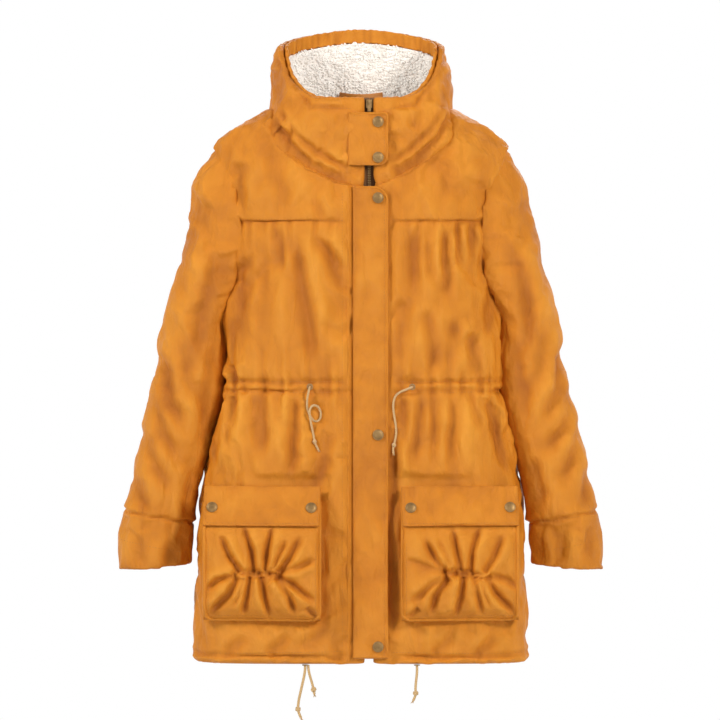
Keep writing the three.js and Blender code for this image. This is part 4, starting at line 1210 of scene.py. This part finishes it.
def brass_material():
    material, wires, shader = new_material("antique_brass")
    coords = wires.node("TexCoord", out=3)
    tarnish = noise_at(wires, coords, 240.0, 4.0, 0.6)
    patches = noise_at(wires, coords, 70.0, 2.0)
    rubbed = wires.node("NewGeometry", out=7)
    worn = tarnish * 0.45 + patches * 0.35 + (rubbed - 0.5) * 1.2
    shade = wires.node("ValToRGB", {"stops": [
        (0.15, (0.15, 0.085, 0.030, 1)), (0.45, (0.34, 0.205, 0.080, 1)), (0.85, (0.70, 0.50, 0.25, 1))]},
        {0: worn})
    bump = wires.node("Bump", None, {"Strength": 0.25, "Distance": 0.0002, "Height": tarnish})
    feed(shader, Base_Color=shade, Metallic=0.8, Roughness=0.62 - tarnish * 0.22, Normal=bump)
    return material


antique_brass = brass_material()
cap_profile = [(0.0, 0.0021), (0.0024, 0.00208), (0.0046, 0.0019), (0.0058, 0.0016), (0.0063, 0.0013),
               (0.0068, 0.0014), (0.0074, 0.0015), (0.0079, 0.0011), (0.0081, 0.0004), (0.0079, 0.0)]


def press_stud(node, body, facing):
    """A domed cap with a rolled edge"""
    low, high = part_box(node)
    form = bmesh.new()
    rim = [form.verts.new((radius, 0, height)) for radius, height in cap_profile]
    edges = [form.edges.new(pair) for pair in zip(rim, rim[1:])]
    bmesh.ops.spin(form, geom=edges, cent=(0, 0, 0), axis=(0, 0, 1), angle=math.tau, steps=28,
                   use_merge=True)
    bmesh.ops.remove_doubles(form, verts=form.verts, dist=1e-6)
    bmesh.ops.holes_fill(form, edges=form.edges)
    bmesh.ops.recalc_face_normals(form, faces=form.faces)
    facing = Vector(facing).normalized()
    turn = facing.to_track_quat("Z", "Y").to_matrix().to_4x4()
    sunk = 0.0003
    centre = (low + high) / 2 - facing * sunk
    bmesh.ops.transform(form, verts=form.verts, matrix=Matrix.Translation(centre) @ turn)
    cap = add_piece(node + "_domed", mesh_from(form, node), antique_brass, body)
    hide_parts(node)


for node, holder in frame["nodes"].items():
    body = holder["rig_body"]
    if "snap_cap" in node:
        press_stud(node, body, pocket_flap_way if "pocket" in node else (0, -1, 0))
    elif "snap_stud" in node or "eyelet" in node or node in ("zip_box", "zip_slider", "zip_pull"):
        holder.data.materials.clear()
        holder.data.materials.append(antique_brass)

for side in ("right", "left"):
    node = side + "_zip_teeth"
    low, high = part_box(node)
    pitch = 0.0025
    tooth = bmesh.new()
    bmesh.ops.create_cube(tooth, size=1.0, matrix=Matrix.Diagonal(
        (high.x - low.x, high.y - low.y, pitch * 0.56, 1)))
    bmesh.ops.bevel(tooth, geom=tooth.edges[:], affect="EDGES", offset=0.0003, segments=1, profile=0.5,
                    material=-1)
    places = [Matrix.Translation(((low.x + high.x) / 2, (low.y + high.y) / 2, low.z + (step + 0.5) * pitch))
              for step in range(int((high.z - low.z) / pitch))]
    row = add_piece(node + "_cut", stamped(node, tooth, places, smooth=False), antique_brass)
    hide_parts(node)

# ---------- Bindings ----------
# Narrow bias bands of the shell cloth, folded over the raw edges of the pockets and of the free
# edges of the storm and collar flaps.


def on_surface(surfaces, x, z, way=1):
    """Where a line along Y first meets one of the surfaces, from the front or, with way -1, the back"""
    hits = [surface.ray_cast(Vector((x, -0.4 * way, z)), Vector((0, way, 0)))[0] for surface in surfaces]
    hits = [hit for hit in hits if hit]
    return min(hits, key=lambda hit: hit.y * way) if hits else None


def walk(line, pitch):
    """Points along a line of (x, z), a pitch apart"""
    spots = []
    for (x0, z0), (x1, z1) in zip(line, line[1:]):
        steps = max(1, round(math.hypot(x1 - x0, z1 - z0) / pitch))
        spots += [(x0 + (x1 - x0) * i / steps, z0 + (z1 - z0) * i / steps) for i in range(steps)]
    return spots + [line[-1]]


def binding(name, line, surfaces, body, thickness, proud=0.0):
    spots = [on_surface(surfaces, x, z) for x, z in walk(line, 0.006)]
    spots = [spot + Vector((0, -proud, 0)) for spot in spots if spot]
    tube = cord_curve(name, spots, thickness, shell_cloth)
    graph = bpy.context.evaluated_depsgraph_get()
    mesh = bpy.data.meshes.new_from_object(tube.evaluated_get(graph))
    bpy.data.objects.remove(tube)
    piece = add_piece(name, mesh, shell_cloth, body)
    return piece


def round_corner(centre_x, centre_z, radius, start, end):
    """Points round a corner, by angle in degrees from the way of +X"""
    return [(centre_x + radius * math.cos(math.radians(start + (end - start) * i / 5)),
             centre_z + radius * math.sin(math.radians(start + (end - start) * i / 5))) for i in range(6)]


pocket_inset = 0.0028
for side in ("right", "left"):
    low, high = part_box(side + "_pocket")
    x0, x1 = low.x + pocket_inset, high.x - pocket_inset
    bottom, top = low.z + pocket_inset, high.z - 0.004
    corner = 0.012
    edge = ([(x0, top)] + round_corner(x0 + corner, bottom + corner, corner, 180, 270)
            + round_corner(x1 - corner, bottom + corner, corner, 270, 360) + [(x1, top)])
    binding(side + "_pocket_binding", edge, [finder(pockets[side])], "coat", 0.0056)
binding("front_tuck", [(-0.0186, -0.112), (-0.0190, hem_z + 0.006)], [finder(body_pieces["right_front"])],
        "coat", 0.0062, proud=-0.0018)
for node, corner in (("storm_flap", 0.020), ("collar_flap", 0.004)):
    low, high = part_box(node)
    x1, top = high.x - 0.0018, high.z - 0.0018
    edge = ([(low.x + 0.004, top)] + round_corner(x1 - corner, top - corner, corner, 90, 0)
            + [(x1, low.z + 0.002)])
    binding(node + "_binding", edge, [finder(flaps[node])], node, 0.0032, proud=-0.0004)

# ---------- Stitching ----------
# Lockstitch in a matching orange thread, a little lighter than the cloth, sunk along every seam: the
# yokes, the waist's cord tunnel, the hem, the collar's tunnel, the cuffs, the pockets and the flaps.


def thread_material():
    material, wires, shader = new_material("sewing_thread")
    coords = wires.node("TexCoord", out=3)
    twist = wires.node("TexWave", {"bands_direction": "DIAGONAL"}, {"Vector": coords, "Scale": 1500.0})
    fibre = noise_at(wires, coords, 300.0)
    bump = wires.node("Bump", None, {"Strength": 0.4, "Distance": 0.0002, "Height": twist})
    feed(shader, Base_Color=blend_colours(wires, fibre, (0.36, 0.105, 0.006, 1), (0.66, 0.26, 0.03, 1)),
         Roughness=0.6, Normal=bump)
    return material


thread = thread_material()
stitch_pitch = 0.0044
stitch_length = 0.0032
stitch_thickness = 0.0008


def stitching(name, body, runs):
    """One piece of stitches for each body; a run is a line of (x, z), the pieces it is sewn on, and a way"""
    places = []
    for line, surfaces, way in runs:
        spots = walk(line, stitch_pitch)
        for (x0, z0), (x1, z1) in zip(spots, spots[1:]):
            first = on_surface(surfaces, x0, z0, way)
            last = on_surface(surfaces, x1, z1, way)
            if not first or not last or (last - first).length > 2.2 * stitch_pitch:
                continue
            aim = (last - first).to_track_quat("Z", "Y").to_matrix().to_4x4()
            size = Matrix.Diagonal((stitch_thickness / 2, stitch_thickness / 2, stitch_length / 2, 1))
            places.append(Matrix.Translation((first + last) / 2) @ aim @ size)
    stitch = bmesh.new()
    bmesh.ops.create_uvsphere(stitch, u_segments=6, v_segments=4, radius=1.0)
    piece = add_piece(name, stamped(name, stitch, places), thread, body)
    return piece


right_body = [finder(body_pieces["right_front"])]
left_body = [finder(body_pieces["left_front"])]
back_body = [finder(body_pieces["back"])]
collar_skin = [finder(collar)]
hem_line = hem_z + 0.016
coat_runs = [
    ([(-0.186, yoke_z + 0.005), (-0.026, yoke_z + 0.004)], right_body, 1),
    ([(0.046, yoke_z + 0.005), (0.186, yoke_z + 0.006)], left_body, 1),
    ([(-0.236, hem_line), (-0.028, hem_line + 0.004)], right_body, 1),
    ([(0.046, hem_line + 0.002), (0.238, hem_line)], left_body, 1),
    ([(-0.0275, -0.120), (-0.0275, hem_z + 0.004)], right_body, 1),
    ([(-0.19, yoke_z + 0.005), (0.19, yoke_z + 0.005)], back_body, -1),
    ([(-0.236, hem_line), (0.236, hem_line)], back_body, -1),
    ([(-0.11, 0.104), (0.11, 0.104)], collar_skin, -1),
    (collar_tunnel[0][0], collar_skin, 1),
    (collar_tunnel[1][0], collar_skin, 1)]
for rise in (-0.008, 0.008):
    coat_runs += [([(-0.194, waist_z + rise), (-0.030, waist_z + rise)], right_body, 1),
                  ([(0.050, waist_z + rise), (0.194, waist_z + rise)], left_body, 1),
                  ([(-0.194, waist_z + rise), (0.194, waist_z + rise)], back_body, -1)]
for side in ("right", "left"):
    low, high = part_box(side + "_pocket")
    skin = [finder(pockets[side])]
    inset = 0.0085
    under_flap = 0.062
    x0, x1, bottom, top = low.x + inset, high.x - inset, low.z + inset, high.z - under_flap
    coat_runs += [([(x0, top), (x0, bottom), (x1, bottom), (x1, top)], skin, 1)]
stitching("coat_stitching", "coat", coat_runs)
for node, corner in (("storm_flap", 0.020), ("collar_flap", 0.003)):
    low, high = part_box(node)
    x1, top = high.x - 0.0060, high.z - 0.0055
    edge = ([(low.x + 0.007, top)] + round_corner(x1 - corner, top - corner, corner, 90, 0)
            + [(x1, low.z + 0.004)])
    stitching(node + "_stitching", node, [(edge, [finder(flaps[node])], 1)])
for side in ("right", "left"):
    node = side + "_pocket_flap"
    low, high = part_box(node)
    inset = 0.0050
    edge = [(low.x + inset, high.z - 0.010), (low.x + inset, low.z + inset), (high.x - inset, low.z + inset),
            (high.x - inset, high.z - 0.010)]
    stitching(node + "_stitching", node, [(edge, [finder(flaps[node])], 1)])
    sign = -1 if side == "right" else 1
    band = [(sign * x, z - 0.005) for x, z in cuff_seam]
    end = [(sign * 0.257, -0.652), (sign * 0.355, -0.633)]
    skin = [finder(sleeves[side])]
    stitching(side + "_sleeve_stitching", side + "_sleeve",
              [(line, skin, way) for line in (band, end) for way in (1, -1)])
